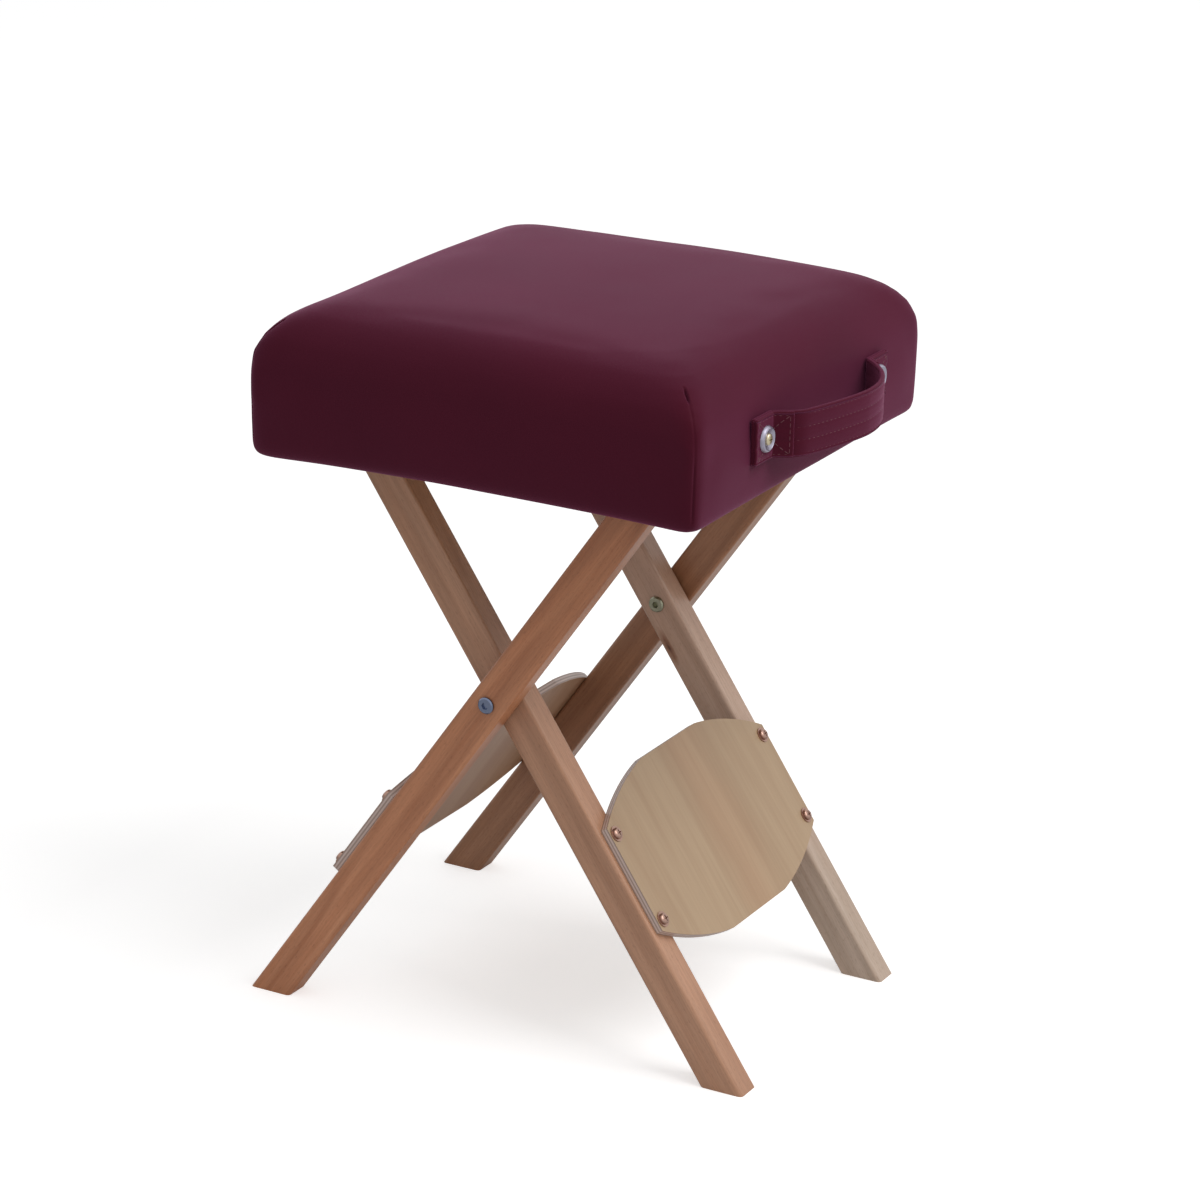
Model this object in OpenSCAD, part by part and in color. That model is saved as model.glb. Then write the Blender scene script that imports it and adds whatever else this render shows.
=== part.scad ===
// Folding wooden stool: a padded square seat on two crossed leg frames.
// Millimetres. The floor is z = 0, x = 0 is the line of the crossing pivots, and +X is the handle end.

/* [Legs] */
// Slope of every leg above the floor, in degrees, with the stool open
leg_angle = 55.4; // [50:0.2:62]
// Height of the crossing pivot above the floor
pivot_height = 238; // [200:1:280]
// Distance from the crossing pivot up a leg to its top hinge or crossbar
arm_length = 216.8; // [200:0.2:240]
// Thickness of a leg across the stool
leg_t = 20; // [16:0.5:26]
// Depth of a leg in the plane of the crossing
leg_d = 25; // [20:0.5:32]
// Rounding of the leg's long edges
leg_ease = 2.5; // [1:0.5:4]
// Width across the outer frame
frame_width = 270; // [230:1:290]
// Gap between an outer leg and the inner leg beside it
leg_gap = 2; // [1.5:0.1:4]

/* [Panels] */
// Thickness of the two plywood panels
panel_t = 5.5; // [4:0.5:8]
// Length of a panel along the legs
panel_len = 126; // [110:1:140]
// Distance from the crossing pivot down the leg to the middle of a panel
panel_mid = 143; // [135:1:155]
// Radius of the arcs at the panel's corners
panel_corner_r = 200; // [70:1:260]
// Width that each corner arc takes from the panel's straight end
panel_run = 72; // [50:1:75]
// Length that each corner arc takes from the panel's straight side
panel_drop = 26; // [16:0.5:36]
// Inset of a panel's edge from the outer face of its frame
panel_inset = 4; // [1:0.5:6]
// Spacing along a leg of the two screws that hold a panel
panel_pitch = 62; // [40:1:80]

/* [Crossbar] */
// Radius of the round bar that carries the free end of the seat
bar_r = 13; // [11:0.5:14]
// Width of the strip that stops the bar
stop_w = 180; // [120:1:230]
// Height of the strip that stops the bar
stop_h = 18; // [12:1:24]
// Thickness of the strip that stops the bar
stop_t = 8; // [6:0.5:12]

/* [Seat] */
// Distance along X from the seat's hinge to the inside of the rail at the handle end
end_room = 16; // [14:0.5:24]
// Height of the wooden rails under the seat board
rail_h = 42.2; // [34:0.2:50]
// Thickness of the two side rails
side_rail_t = 17.5; // [12:0.5:20]
// Thickness of the two end rails
end_rail_t = 12; // [9:0.5:13]
// Thickness of the seat board
board_t = 12; // [9:0.5:18]
// Height of the cushion's top edge above the seat board
pad_h = 38; // [34:0.5:60]
// Rise of the middle of the cushion above its top edge
crown = 5; // [2:0.5:10]
// Rise of the middle of each top edge above the corners
edge_crown = 2.5; // [0:0.5:6]
// Radius of the cushion's top edges
edge_r = 40; // [30:1:45]
// Radius of the seat's upright corners
corner_r = 7; // [6:1:22]
// How far the bottom of the cover is drawn in
draw_in = 2; // [1:0.1:5]
// Thickness of the foam between the cover and the outside of the rails
side_foam = 2.6; // [1:0.1:5]
// How far the middle of each side swells out between its corners
side_bow = 0.6; // [0:0.1:3]
// Thickness of the cover
cover_t = 1.2; // [0.8:0.1:2]
// Width of the hem folded under the rails
hem_w = 10; // [7:0.5:11]
// Height of the foam band's lower edge above the bottom of the cover
edge_foam_up = 16; // [8:1:24]

/* [Handle] */
// Width of the strap handle
strap_w = 30; // [24:0.5:36]
// Thickness of the strap handle
strap_t = 3; // [2:0.1:5]
// Thickness of the folded layer sewn on each end of the strap
fold_t = 1.6; // [1:0.1:2.5]
// Length of that layer along Y
fold_len = 31; // [26:1:36]
// Height of the strap's middle above the bottom of the skirt
strap_up = 41.5; // [30:0.5:42]
// Distance between the two screws of the handle
strap_pitch = 160; // [130:1:170]
// Place of the middle of the handle along Y
strap_shift = 1; // [0:0.5:25]
// Length of the strap's ends beyond their screws
tab_over = 13; // [12:0.5:24]
// Flat length of the strap inside its near screw
near_tab = 9.5; // [9:0.5:24]
// Flat length of the strap inside its far screw
far_tab = 9.5; // [9:0.5:32]
// How far the strap stands out from its ends
strap_bulge = 31; // [14:0.5:34]
// Length along Y in which the strap falls back to its far end
strap_turn = 65; // [40:1:80]

/* [Fasteners] */
// Radius of the crossing bolts
pivot_r = 3; // [2.5:0.1:4]
// Radius of the sleeve nuts on the crossing bolts
sleeve_r = 4.5; // [4.1:0.1:6]
// Radius of the round heads of the crossing bolts and their nuts
pivot_head_r = 5.5; // [5:0.1:8]
// Thickness of those heads
pivot_head_t = 1.8; // [1.2:0.1:3]
// Radius of the hinge bolts at the seat
hinge_r = 4; // [3:0.1:5]
// Radius of the heads of the hinge bolts
hinge_head_r = 7; // [6:0.1:8]
// Thickness of the heads of the hinge bolts
hinge_head_t = 3; // [2:0.1:4]
// Thickness of the washers between the outer legs and the side rails
hinge_washer_t = 1.5; // [1:0.1:3]
// Radius of the threaded inserts in the side rails
insert_r = 6; // [5.5:0.1:8]
// Radius of the wood screws
screw_r = 2; // [1.5:0.1:2.5]
// Radius of the heads of the wood screws
screw_head_r = 3.8; // [3.2:0.1:4.5]
// Height of the heads of the wood screws
screw_head_t = 2.2; // [1.6:0.1:3]
// Length of the screws that hold the panels
screw_len = 18; // [14:1:22]
// How deep the board's screws and the crossbar's screws go into the wood beyond
screw_bite = 20; // [14:1:24]
// Radius of the crossbar's screws
bar_screw_r = 2.6; // [2:0.1:3.5]
// Radius of the sunk heads of the crossbar's screws
bar_head_r = 5; // [4.5:0.1:6]
// Distance of the board screws from the end of a side rail; those in the end rails lie half as far in
screw_edge = 42; // [30:1:60]
// Radius of the flat washers under the panel screws
washer_r = 5.2; // [4.8:0.1:6]
// Thickness of the flat washers
washer_t = 0.8; // [0.5:0.1:1.2]
// Radius of the cup washers on the handle
cup_r = 8.6; // [6:0.1:10]
// Height of the cup washers on the handle
cup_t = 2.4; // [1.8:0.1:3.5]
// Radius of the crest of those washers
cup_crest_r = 7; // [5:0.1:8]

/* [Clearances] */
// Radial clearance of a shaft that turns in a bore
run_fit = 0.05; // [0.02:0.01:0.1]
// Gap between faces of parts that move past each other
face_gap = 0.3; // [0.2:0.05:0.6]
// Gap between soft parts and what they lie on
soft_gap = 0.3; // [0.2:0.05:0.5]

/* [Hidden] */
$fn = 48;

// Colours
beech = [0.78, 0.55, 0.36];
birch = [0.90, 0.77, 0.55];
vinyl = [0.36, 0.13, 0.22];
foam_tint = [0.93, 0.90, 0.80];
zinc = [0.75, 0.78, 0.82];
brass = [0.74, 0.63, 0.38];
copper = [0.80, 0.52, 0.36];

// A small overlap that lets a cut pass through a face
cut = 1;
// The tilt of a leg from upright, and the reach of its top from the pivot line
tilt = 90 - leg_angle;
top_x = arm_length * cos(leg_angle);
top_z = pivot_height + arm_length * sin(leg_angle);
// A leg's length below the pivot, long enough to be cut flat at the floor
foot_len = pivot_height / sin(leg_angle) + leg_d;
// Faces of the legs, measured from the middle of the stool
outer_face = frame_width / 2;
outer_inside = outer_face - leg_t;
inner_face = outer_inside - leg_gap;
inner_inside = inner_face - leg_t;
// Heights in the seat
board_z = top_z + bar_r + face_gap;
rail_z = board_z - rail_h;
skirt_z = rail_z - soft_gap - cover_t;
pad_top = board_z + board_t + pad_h;
// The strip fills the room between the open crossbar and the stop rail
stop_x1 = -top_x - bar_r - face_gap;
stop_x0 = stop_x1 - stop_t;
// The wooden frame is as long and as wide as the legs and rails need
handle_end_x = top_x + end_room + end_rail_t;
stop_end_x = stop_x0 - end_rail_t;
rail_inside_y = outer_face + face_gap + hinge_washer_t;
box_len = handle_end_x - stop_end_x;
box_wid = 2 * (rail_inside_y + side_rail_t);
// The hinge's insert stops short of the outside of the rail, and its bolt short of the insert's end
insert_len = side_rail_t * 0.75;
hinge_end = rail_inside_y + insert_len * 0.8;
// The cover lies outside the frame
shell_in = draw_in + side_foam + cover_t + soft_gap;
seat_len = box_len + 2 * shell_in;
seat_wid = box_wid + 2 * shell_in;
seat_shift = (handle_end_x + stop_end_x) / 2;
box_r = max(1, corner_r - shell_in + draw_in);
// Panels
panel_half_outer = outer_face - panel_inset;
panel_half_inner = inner_face - panel_inset;
crossbar_screw_len = leg_t + screw_bite;
// Handle
strap_z = skirt_z + strap_up;
skirt_x = seat_shift + seat_len / 2 + side_bow + soft_gap;
near_screw_y = strap_shift - strap_pitch / 2;
far_screw_y = strap_shift + strap_pitch / 2;
tab_x = skirt_x + strap_t + fold_t;
// Wood screws stop this far inside the last piece of wood that they enter
screw_short = 2;
handle_screw_len = tab_x - handle_end_x + end_rail_t - screw_short;

// A rectangle with round corners, made of squares and circles
module round_rect(a, b, r) {
    square([a - 2 * r, b], center = true);
    square([a, b - 2 * r], center = true);
    for (x = [-1, 1], y = [-1, 1])
        translate([x * (a / 2 - r), y * (b / 2 - r)]) circle(r);
}

// A cylinder along Y from y0 to y1
module along_y(y0, y1, r) {
    translate([0, min(y0, y1), 0]) rotate([-90, 0, 0]) cylinder(h = abs(y1 - y0), r = r);
}

// A leg's own frame: origin at the crossing pivot, +Z up the leg. side is 1 for the outer frame and
// -1 for the inner frame, and the panel lies on the face at x = -side * leg_d / 2.
module leg_frame(side) {
    translate([0, 0, pivot_height]) rotate([0, side * tilt, 0]) children();
}

module at_top() {
    translate([0, 0, arm_length]) children();
}

// Places a part at the two screws of a panel on one leg, its axis pointing out of the panel
module at_panel_screws(side, x, y) {
    for (k = [-1, 1])
        translate([-side * x, y, -panel_mid + k * panel_pitch / 2])
            rotate([0, -side * 90, 0]) children();
}

// A wooden leg with eased edges, a round top and a foot cut flat at the floor
module leg_blank(side, y) {
    difference() {
        leg_frame(side) intersection() {
            translate([0, y, -foot_len])
                linear_extrude(foot_len + arm_length + leg_d) round_rect(leg_d, leg_t, leg_ease);
            translate([0, y + leg_t, 0]) rotate([90, 0, 0]) linear_extrude(2 * leg_t) union() {
                translate([-leg_d, -foot_len]) square([2 * leg_d, foot_len + arm_length]);
                translate([0, arm_length]) circle(leg_d / 2);
            }
        }
        translate([-pivot_height * 2, -seat_wid, -leg_d * 3])
            cube([pivot_height * 4, seat_wid * 2, leg_d * 3]);
    }
}

module outer_leg(s) {
    mid = s * (outer_face - leg_t / 2);
    color(beech) difference() {
        leg_blank(1, mid);
        leg_frame(1) {
            along_y(s * (outer_inside - cut), s * (outer_face + cut), pivot_r + run_fit);
            at_top() along_y(s * (outer_inside - cut), s * (outer_face + cut), hinge_r + run_fit);
            at_top() along_y(s * (outer_inside - cut), s * (outer_inside + hinge_head_t + face_gap),
                hinge_head_r + face_gap);
            at_panel_screws(1, leg_d / 2 + cut, mid)
                translate([0, 0, -screw_len - cut]) cylinder(h = screw_len + cut * 2, r = screw_r + run_fit);
        }
    }
}

module inner_leg(s) {
    mid = s * (inner_face - leg_t / 2);
    color(beech) difference() {
        leg_blank(-1, mid);
        leg_frame(-1) {
            along_y(s * (inner_inside - cut), s * (inner_face + cut), sleeve_r + run_fit);
            at_top() along_y(s * (inner_inside - cut), s * (inner_face + cut), bar_screw_r + run_fit);
            at_top() translate([0, s * inner_face, 0]) rotate([s * 90, 0, 0])
                translate([0, 0, -cut]) cylinder(h = bar_head_r - bar_screw_r + cut,
                    r1 = bar_head_r + cut + run_fit, r2 = bar_screw_r + run_fit);
            at_panel_screws(-1, leg_d / 2 + cut, mid)
                translate([0, 0, -screw_len - cut]) cylinder(h = screw_len + cut * 2, r = screw_r + run_fit);
        }
    }
}

module outer_leg_front() { outer_leg(-1); }
module outer_leg_back() { outer_leg(1); }
module inner_leg_front() { inner_leg(-1); }
module inner_leg_back() { inner_leg(1); }

// The corner arc at the upper right of a panel: it starts at the straight end with a slight angle, as sawn
// along a curved template, and meets the straight side
arc_steps = 16;
function corner_arc(half) = let (
        run = [panel_run, -panel_drop],
        start = [half - panel_run, panel_len / 2],
        chord = norm(run),
        back = sqrt(pow(panel_corner_r, 2) - pow(chord / 2, 2)),
        centre = start + run / 2 - [panel_drop, panel_run] / chord * back,
        from = atan2(start[1] - centre[1], start[0] - centre[0]),
        to = atan2(start[1] - panel_drop - centre[1], half - centre[0]))
    [for (k = [0 : arc_steps]) let (a = from + (to - from) * k / arc_steps)
        centre + panel_corner_r * [cos(a), sin(a)]];

// The outline has the same arc at its four corners
module panel_outline(half) {
    arc = corner_arc(half);
    polygon(concat(
        arc,
        [for (i = [arc_steps : -1 : 0]) [arc[i][0], -arc[i][1]]],
        [for (i = [0 : arc_steps]) -arc[i]],
        [for (i = [arc_steps : -1 : 0]) [-arc[i][0], arc[i][1]]]));
}

module panel(side, half, screw_y) {
    color(birch) leg_frame(side) difference() {
        translate([-side * (leg_d / 2 + panel_t / 2), 0, -panel_mid])
            rotate([90, 0, 90]) translate([0, 0, -panel_t / 2]) linear_extrude(panel_t) panel_outline(half);
        for (s = [-1, 1]) at_panel_screws(side, leg_d / 2 - cut, s * screw_y)
            cylinder(h = panel_t + cut * 2, r = screw_r + run_fit);
    }
}

module outer_panel() { panel(1, panel_half_outer, outer_face - leg_t / 2); }
module inner_panel() { panel(-1, panel_half_inner, inner_face - leg_t / 2); }

module flat_washer() {
    difference() {
        cylinder(h = washer_t, r = washer_r);
        translate([0, 0, -cut]) cylinder(h = washer_t + 2 * cut, r = screw_r + run_fit);
    }
}

// The cross recess in a screw's head, from z = 0 up
slot_w = 0.8;
module cross_slot(len, h) {
    for (a = [0, 90]) rotate([0, 0, a]) translate([-len / 2, -slot_w / 2, 0]) cube([len, slot_w, h]);
}

// A wood screw with a round head that has a cross recess. Its head stands on z = 0.
module pan_screw(len) {
    difference() {
        rotate_extrude() polygon(concat(
            [[0, -len], [screw_r * 0.3, -len], [screw_r, -len + screw_r * 2], [screw_r, 0], [screw_head_r, 0]],
            [for (a = [0 : 15 : 90]) [screw_head_r * cos(a) ^ 0.6, screw_head_t * (0.35 + 0.65 * sin(a))]]));
        translate([0, 0, screw_head_t * 0.45]) cross_slot(screw_head_r * 1.1, screw_head_t);
    }
}

module panel_washers(side, y) {
    color(copper) leg_frame(side) for (s = [-1, 1])
        at_panel_screws(side, leg_d / 2 + panel_t, s * y) flat_washer();
}

module panel_screws(side, y) {
    color(copper) leg_frame(side) for (s = [-1, 1])
        at_panel_screws(side, leg_d / 2 + panel_t + washer_t, s * y) pan_screw(screw_len);
}

module outer_panel_washers() { panel_washers(1, outer_face - leg_t / 2); }
module outer_panel_screws() { panel_screws(1, outer_face - leg_t / 2); }
module inner_panel_washers() { panel_washers(-1, inner_face - leg_t / 2); }
module inner_panel_screws() { panel_screws(-1, inner_face - leg_t / 2); }

// The round bar between the tops of the inner legs
module crossbar() {
    color(beech) leg_frame(-1) at_top() difference() {
        along_y(-inner_inside, inner_inside, bar_r);
        for (s = [-1, 1])
            along_y(s * (inner_face - crossbar_screw_len - cut), s * (inner_inside + cut),
                bar_screw_r + run_fit);
    }
}

module crossbar_screws() {
    head = bar_head_r - bar_screw_r;
    color(zinc) leg_frame(-1) at_top() for (s = [-1, 1])
        translate([0, s * inner_face, 0]) rotate([s * 90, 0, 0]) difference() {
            union() {
                cylinder(h = head, r1 = bar_head_r, r2 = bar_screw_r);
                translate([0, 0, head]) cylinder(h = crossbar_screw_len - head, r = bar_screw_r);
            }
            translate([0, 0, -cut]) cross_slot(bar_head_r, cut + head * 0.6);
        }
}

// A low round head with a broken edge, its flat back on z = 0
module round_head(r, t) {
    rotate_extrude() polygon([[0, 0], [r, 0], [r, t * 0.55], [r - t * 0.45, t], [0, t]]);
}

// A hexagon recess of radius r, from depth deep up through the face at z = 0
module hexagon(r, deep) {
    translate([0, 0, -deep]) cylinder(h = deep + cut, r = r, $fn = 6);
}

// Radius and depth of the recesses for a hexagon key, and the metal left under the one in the nut
hex_r = 2.5;
bolt_hex_deep = pivot_head_t * 0.8;
nut_hex_deep = 3;
nut_floor = 1.5;
// The bolt's tip stays clear of the nut's floor, and the nut's end clear of the outer leg
tip_gap = 0.5;
nut_short = 1;

// The crossing bolts: a head outside each outer leg, a shank through both legs
module pivot_bolts() {
    shank = outer_face + face_gap - inner_inside - nut_hex_deep + pivot_head_t - nut_floor - tip_gap;
    color(zinc) for (s = [-1, 1])
        translate([0, s * (outer_face + face_gap), pivot_height]) rotate([s * -90, 0, 0]) difference() {
            union() {
                round_head(pivot_head_r, pivot_head_t);
                translate([0, 0, -shank]) cylinder(h = shank + pivot_head_t / 2, r = pivot_r);
            }
            translate([0, 0, pivot_head_t]) hexagon(hex_r, bolt_hex_deep);
        }
}

// The sleeve nuts: a head inside each inner leg, a threaded sleeve through it
module pivot_nuts() {
    depth = leg_t - nut_short;
    bore = depth - nut_hex_deep + pivot_head_t - nut_floor;
    color(brass) for (s = [-1, 1])
        translate([0, s * inner_inside, pivot_height]) rotate([s * 90, 0, 0]) difference() {
            union() {
                round_head(pivot_head_r, pivot_head_t);
                translate([0, 0, -depth]) cylinder(h = depth + pivot_head_t / 2, r = sleeve_r);
            }
            translate([0, 0, -depth - cut]) cylinder(h = bore + cut, r = pivot_r + run_fit);
            translate([0, 0, pivot_head_t]) hexagon(hex_r, nut_hex_deep);
        }
}

// The thin rings that keep the two frames apart at the pivots. They are a little wider than the heads.
ring_lip = 1.5;
module pivot_spacers() {
    color(zinc) for (s = [-1, 1]) translate([0, 0, pivot_height]) difference() {
        along_y(s * inner_face, s * (outer_inside - face_gap), pivot_head_r + ring_lip);
        along_y(s * (inner_face - cut), s * (outer_inside + cut), pivot_r + run_fit);
    }
}

// The plan of the wooden frame under the cover, from height z up
module frame_plan(z, h) {
    translate([seat_shift, 0, z]) linear_extrude(h) round_rect(box_len, box_wid, box_r);
}

// Places of the screws that hold the board on its rails. Those by the hinge stay clear of its insert.
insert_clear = 8;
rail_screw_x = [stop_end_x + screw_edge, seat_shift, top_x - insert_r - insert_clear];
rail_screw_y = rail_inside_y - screw_edge / 2;
rail_screw_len = board_t + screw_bite;
module at_rail_screws() {
    for (x = rail_screw_x, s = [-1, 1])
        translate([x, s * (rail_inside_y + side_rail_t / 2), board_z + board_t]) children();
    for (y = [-1, 1]) {
        translate([handle_end_x - end_rail_t / 2, y * rail_screw_y, board_z + board_t]) children();
        translate([stop_end_x + end_rail_t / 2, y * rail_screw_y, board_z + board_t]) children();
    }
}

// A screw with a sunk head: z = 0 is the face of the board
module sunk_screw(r, head_r, len) {
    head = head_r - r;
    translate([0, 0, -head]) cylinder(h = head, r1 = r, r2 = head_r);
    translate([0, 0, -len]) cylinder(h = len - head, r = r);
}

module rail_screws() {
    color(zinc) at_rail_screws() difference() {
        sunk_screw(screw_r, screw_head_r, rail_screw_len);
        translate([0, 0, -slot_w]) cross_slot(screw_head_r, slot_w + cut);
    }
}

module rail_screw_holes() {
    at_rail_screws() {
        sunk_screw(screw_r + run_fit, screw_head_r + run_fit, rail_screw_len + cut);
        translate([0, 0, -run_fit]) cylinder(h = cut, r = screw_head_r + run_fit);
    }
}

// Places of the screws of the stop strip, spread over most of its width
stop_screw_y = stop_w * 0.4;
stop_screw_len = stop_h + board_t - 2 * screw_short;
module at_stop_screws() {
    for (y = [-1, 0, 1])
        translate([(stop_x0 + stop_x1) / 2, y * stop_screw_y, board_z - stop_h]) rotate([180, 0, 0]) children();
}

module seat_board() {
    color(birch) difference() {
        frame_plan(board_z, board_t);
        rail_screw_holes();
        at_stop_screws() translate([0, 0, -stop_screw_len - cut])
            cylinder(h = stop_screw_len, r = screw_r + run_fit);
    }
}

module side_rail(s) {
    color(beech) difference() {
        intersection() {
            frame_plan(rail_z, rail_h);
            translate([seat_shift - box_len, s > 0 ? rail_inside_y : -rail_inside_y - side_rail_t - cut,
                rail_z])
                cube([box_len * 2, side_rail_t + cut, rail_h]);
        }
        rail_screw_holes();
        translate([top_x, 0, top_z])
            along_y(s * (rail_inside_y - cut), s * (rail_inside_y + insert_len), insert_r + run_fit);
    }
}

module side_rail_front() { side_rail(-1); }
module side_rail_back() { side_rail(1); }

module end_rail(x0) {
    difference() {
        translate([x0, -rail_inside_y, rail_z]) cube([end_rail_t, rail_inside_y * 2, rail_h]);
        rail_screw_holes();
    }
}

module handle_end_rail() {
    color(beech) difference() {
        end_rail(handle_end_x - end_rail_t);
        at_handle_screws() translate([0, 0, -handle_screw_len - cut])
            cylinder(h = handle_screw_len + cut, r = screw_r + run_fit);
    }
}

module stop_end_rail() { color(beech) end_rail(stop_end_x); }

// The strip that the crossbar bears against while the stool is open
module stop_strip() {
    color(beech) difference() {
        translate([stop_x0, -stop_w / 2, board_z - stop_h]) cube([stop_x1 - stop_x0, stop_w, stop_h]);
        at_stop_screws() translate([0, 0, -stop_h - cut]) cylinder(h = stop_h + 2 * cut, r = screw_r + run_fit);
    }
}

module stop_screws() { color(zinc) at_stop_screws() pan_screw(stop_screw_len); }

hinge_hex_deep = 2;
insert_floor = 1.5;

// The hinge bolts: heads sunk in the inside of the outer legs, shanks in the rails' inserts
module hinge_bolts() {
    color(zinc) translate([top_x, 0, top_z]) for (s = [-1, 1]) difference() {
        union() {
            along_y(s * outer_inside, s * (outer_inside + hinge_head_t), hinge_head_r);
            along_y(s * (outer_inside + hinge_head_t / 2), s * hinge_end, hinge_r);
        }
        translate([0, s * outer_inside, 0]) rotate([s * 90, 0, 0]) hexagon(hex_r, hinge_hex_deep);
    }
}

module hinge_inserts() {
    color(brass) translate([top_x, 0, top_z]) for (s = [-1, 1]) difference() {
        along_y(s * rail_inside_y, s * (rail_inside_y + insert_len), insert_r);
        along_y(s * (rail_inside_y - cut), s * (rail_inside_y + insert_len - insert_floor), hinge_r + run_fit);
    }
}

module hinge_washers() {
    color(zinc) translate([top_x, 0, top_z]) for (s = [-1, 1]) difference() {
        along_y(s * (outer_face + face_gap), s * rail_inside_y, hinge_head_r + ring_lip);
        along_y(s * (outer_face - cut), s * (rail_inside_y + cut), hinge_r + run_fit);
    }
}

// The cushion's form: rings of points, each a rounded rectangle with swelling sides
corner_steps = 5;
side_steps = 6;
fillet_steps = 6;
crown_steps = 3;

// The points of one side between two corners. Its middle swells out by bow and rises by lift.
function side_points(a, b, out, bow, lift) = [for (k = [1 : side_steps - 1])
    let (t = k / side_steps, swell = 1 - (2 * t - 1) ^ 2)
        concat(a + (b - a) * t + out * bow * swell, [lift * swell])];

// The points of the round corner with its centre at c, starting at angle a0
function corner_points(c, r, a0) = [for (k = [0 : corner_steps])
    concat(c + r * [cos(a0 + 90 * k / corner_steps), sin(a0 + 90 * k / corner_steps)], [0])];

// One level of the cushion: half sizes a and b, corner radius r
function ring(a, b, r, bow, z, lift = 0) =
    let (c = [[a - r, b - r], [r - a, b - r], [r - a, r - b], [a - r, r - b]],
         flat = concat(
            corner_points(c[0], r, 0), side_points([a - r, b], [r - a, b], [0, 1], bow, lift),
            corner_points(c[1], r, 90), side_points([-a, b - r], [-a, r - b], [-1, 0], bow, lift),
            corner_points(c[2], r, 180), side_points([r - a, -b], [a - r, -b], [0, -1], bow, lift),
            corner_points(c[3], r, 270), side_points([a, r - b], [a, b - r], [1, 0], bow, lift)))
    [for (p = flat) [p[0] + seat_shift, p[1], z + p[2]]];

// The cushion's levels for a form that lies d inside the outside of the cover
function levels(d) =
    let (a = seat_len / 2 - d, b = seat_wid / 2 - d, r = corner_r - d,
         z0 = skirt_z + d, z1 = pad_top - d, e = edge_r - d, side = pad_top - edge_r)
    concat(
        [for (t = [0, 0.3, 0.65]) let (inset = draw_in * (1 - t) ^ 2)
            ring(a - inset, b - inset, r, side_bow, z0 + (side - z0) * t)],
        [for (k = [0 : fillet_steps]) let (g = 90 * k / fillet_steps, inset = e * (1 - cos(g)))
            ring(a - inset, b - inset, r + inset * 0.5, side_bow * cos(g), side + e * sin(g),
                edge_crown * sin(g))],
        [for (k = [1 : crown_steps]) let (t = k / (crown_steps + 1), shrink = 1 - t)
            ring((a - e) * shrink, (b - e) * shrink, (r + e * 0.5) * shrink, 0,
                z1 + crown * (1 - shrink ^ 2), edge_crown * shrink ^ 2)]);

// A closed solid lofted through the levels, with a flat bottom and a pole on top
module cushion_form(d) {
    rings = levels(d);
    n = len(rings[0]);
    m = len(rings);
    top = [seat_shift, 0, pad_top - d + crown];
    points = concat([for (r = rings) each r], [top]);
    walls = [for (k = [0 : m - 2], i = [0 : n - 1]) let (j = (i + 1) % n)
        each [[k * n + i, (k + 1) * n + i, (k + 1) * n + j], [k * n + i, (k + 1) * n + j, k * n + j]]];
    cap = [for (i = [0 : n - 1]) [(m - 1) * n + i, m * n, (m - 1) * n + (i + 1) % n]];
    polyhedron(points, concat([[for (i = [0 : n - 1]) i]], walls, cap));
}

// The cover: a thin shell with a hem folded under the rails
module seat_cover() {
    color(vinyl) difference() {
        cushion_form(0);
        cushion_form(cover_t);
        translate([seat_shift, 0, skirt_z - cut]) linear_extrude(cover_t + 2 * cut)
            square([box_len - 2 * hem_w, box_wid - 2 * hem_w], center = true);
        handle_screw_holes();
    }
}

// A flat layer of the seat from height z up
module seat_layer(z, h) {
    translate([seat_shift - seat_len, -seat_wid, z]) cube([seat_len * 2, seat_wid * 2, h]);
}

// The foam pad: it fills the cover above the board
module seat_foam() {
    color(foam_tint) intersection() {
        cushion_form(cover_t + soft_gap);
        seat_layer(board_z + board_t + soft_gap, pad_h + 2 * crown);
    }
}

// The thin foam band between the cover and the outside of the rails and board
module edge_foam() {
    color(foam_tint) difference() {
        intersection() {
            cushion_form(cover_t + soft_gap);
            seat_layer(skirt_z + edge_foam_up, board_z + board_t - skirt_z - edge_foam_up);
        }
        translate([seat_shift, 0, skirt_z - cut]) linear_extrude(pad_top)
            square([box_len + 2 * soft_gap, box_wid + 2 * soft_gap], center = true);
        handle_screw_holes();
    }
}

// Staples that hold the hem to the rails
staple_l = 10;
staple_t = 1;
staple_in = (hem_w + staple_t) / 2;
staple_share = 0.18;
module cover_staples() {
    color(zinc) translate([seat_shift, 0, skirt_z - staple_t]) for (k = [-2 : 2], s = [-1, 1]) {
        translate([k * box_len * staple_share - staple_l / 2, s * (box_wid / 2 - staple_in) - staple_t / 2, 0])
            cube([staple_l, staple_t, staple_t]);
        translate([s * (box_len / 2 - staple_in) - staple_t / 2, k * box_wid * staple_share - staple_l / 2, 0])
            cube([staple_t, staple_l, staple_t]);
    }
}

// Seen from above, the strap is flat under each screw. It lifts quickly beside the near end, goes on rising
// slowly to its furthest point, and falls back in a longer slope to the far end.
arch_y0 = near_screw_y + near_tab;
arch_y1 = far_screw_y - far_tab;
peak_y = arch_y1 - strap_turn;
rise_steps = 40;
fall_steps = 32;
// Powers of the slow rise and of the fall, and the share of each length in which it leaves the flat
rise_power = 1.4;
fall_power = 2.4;
soft_start = 0.04;
// The quick lift's share of the height, and the share of the rise that it takes
lift_share = 0.4;
lift_end = 0.106;

// A round slope from 0 where w is 0 to 1 where w is 1
function slope(w, power) = (1 - pow(1 - w, power)) * (1 - exp(-w / soft_start));

// The quick lift from 0 to 1
function lift(u) = 1 - exp(-pow(u / lift_end, 2));

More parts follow.
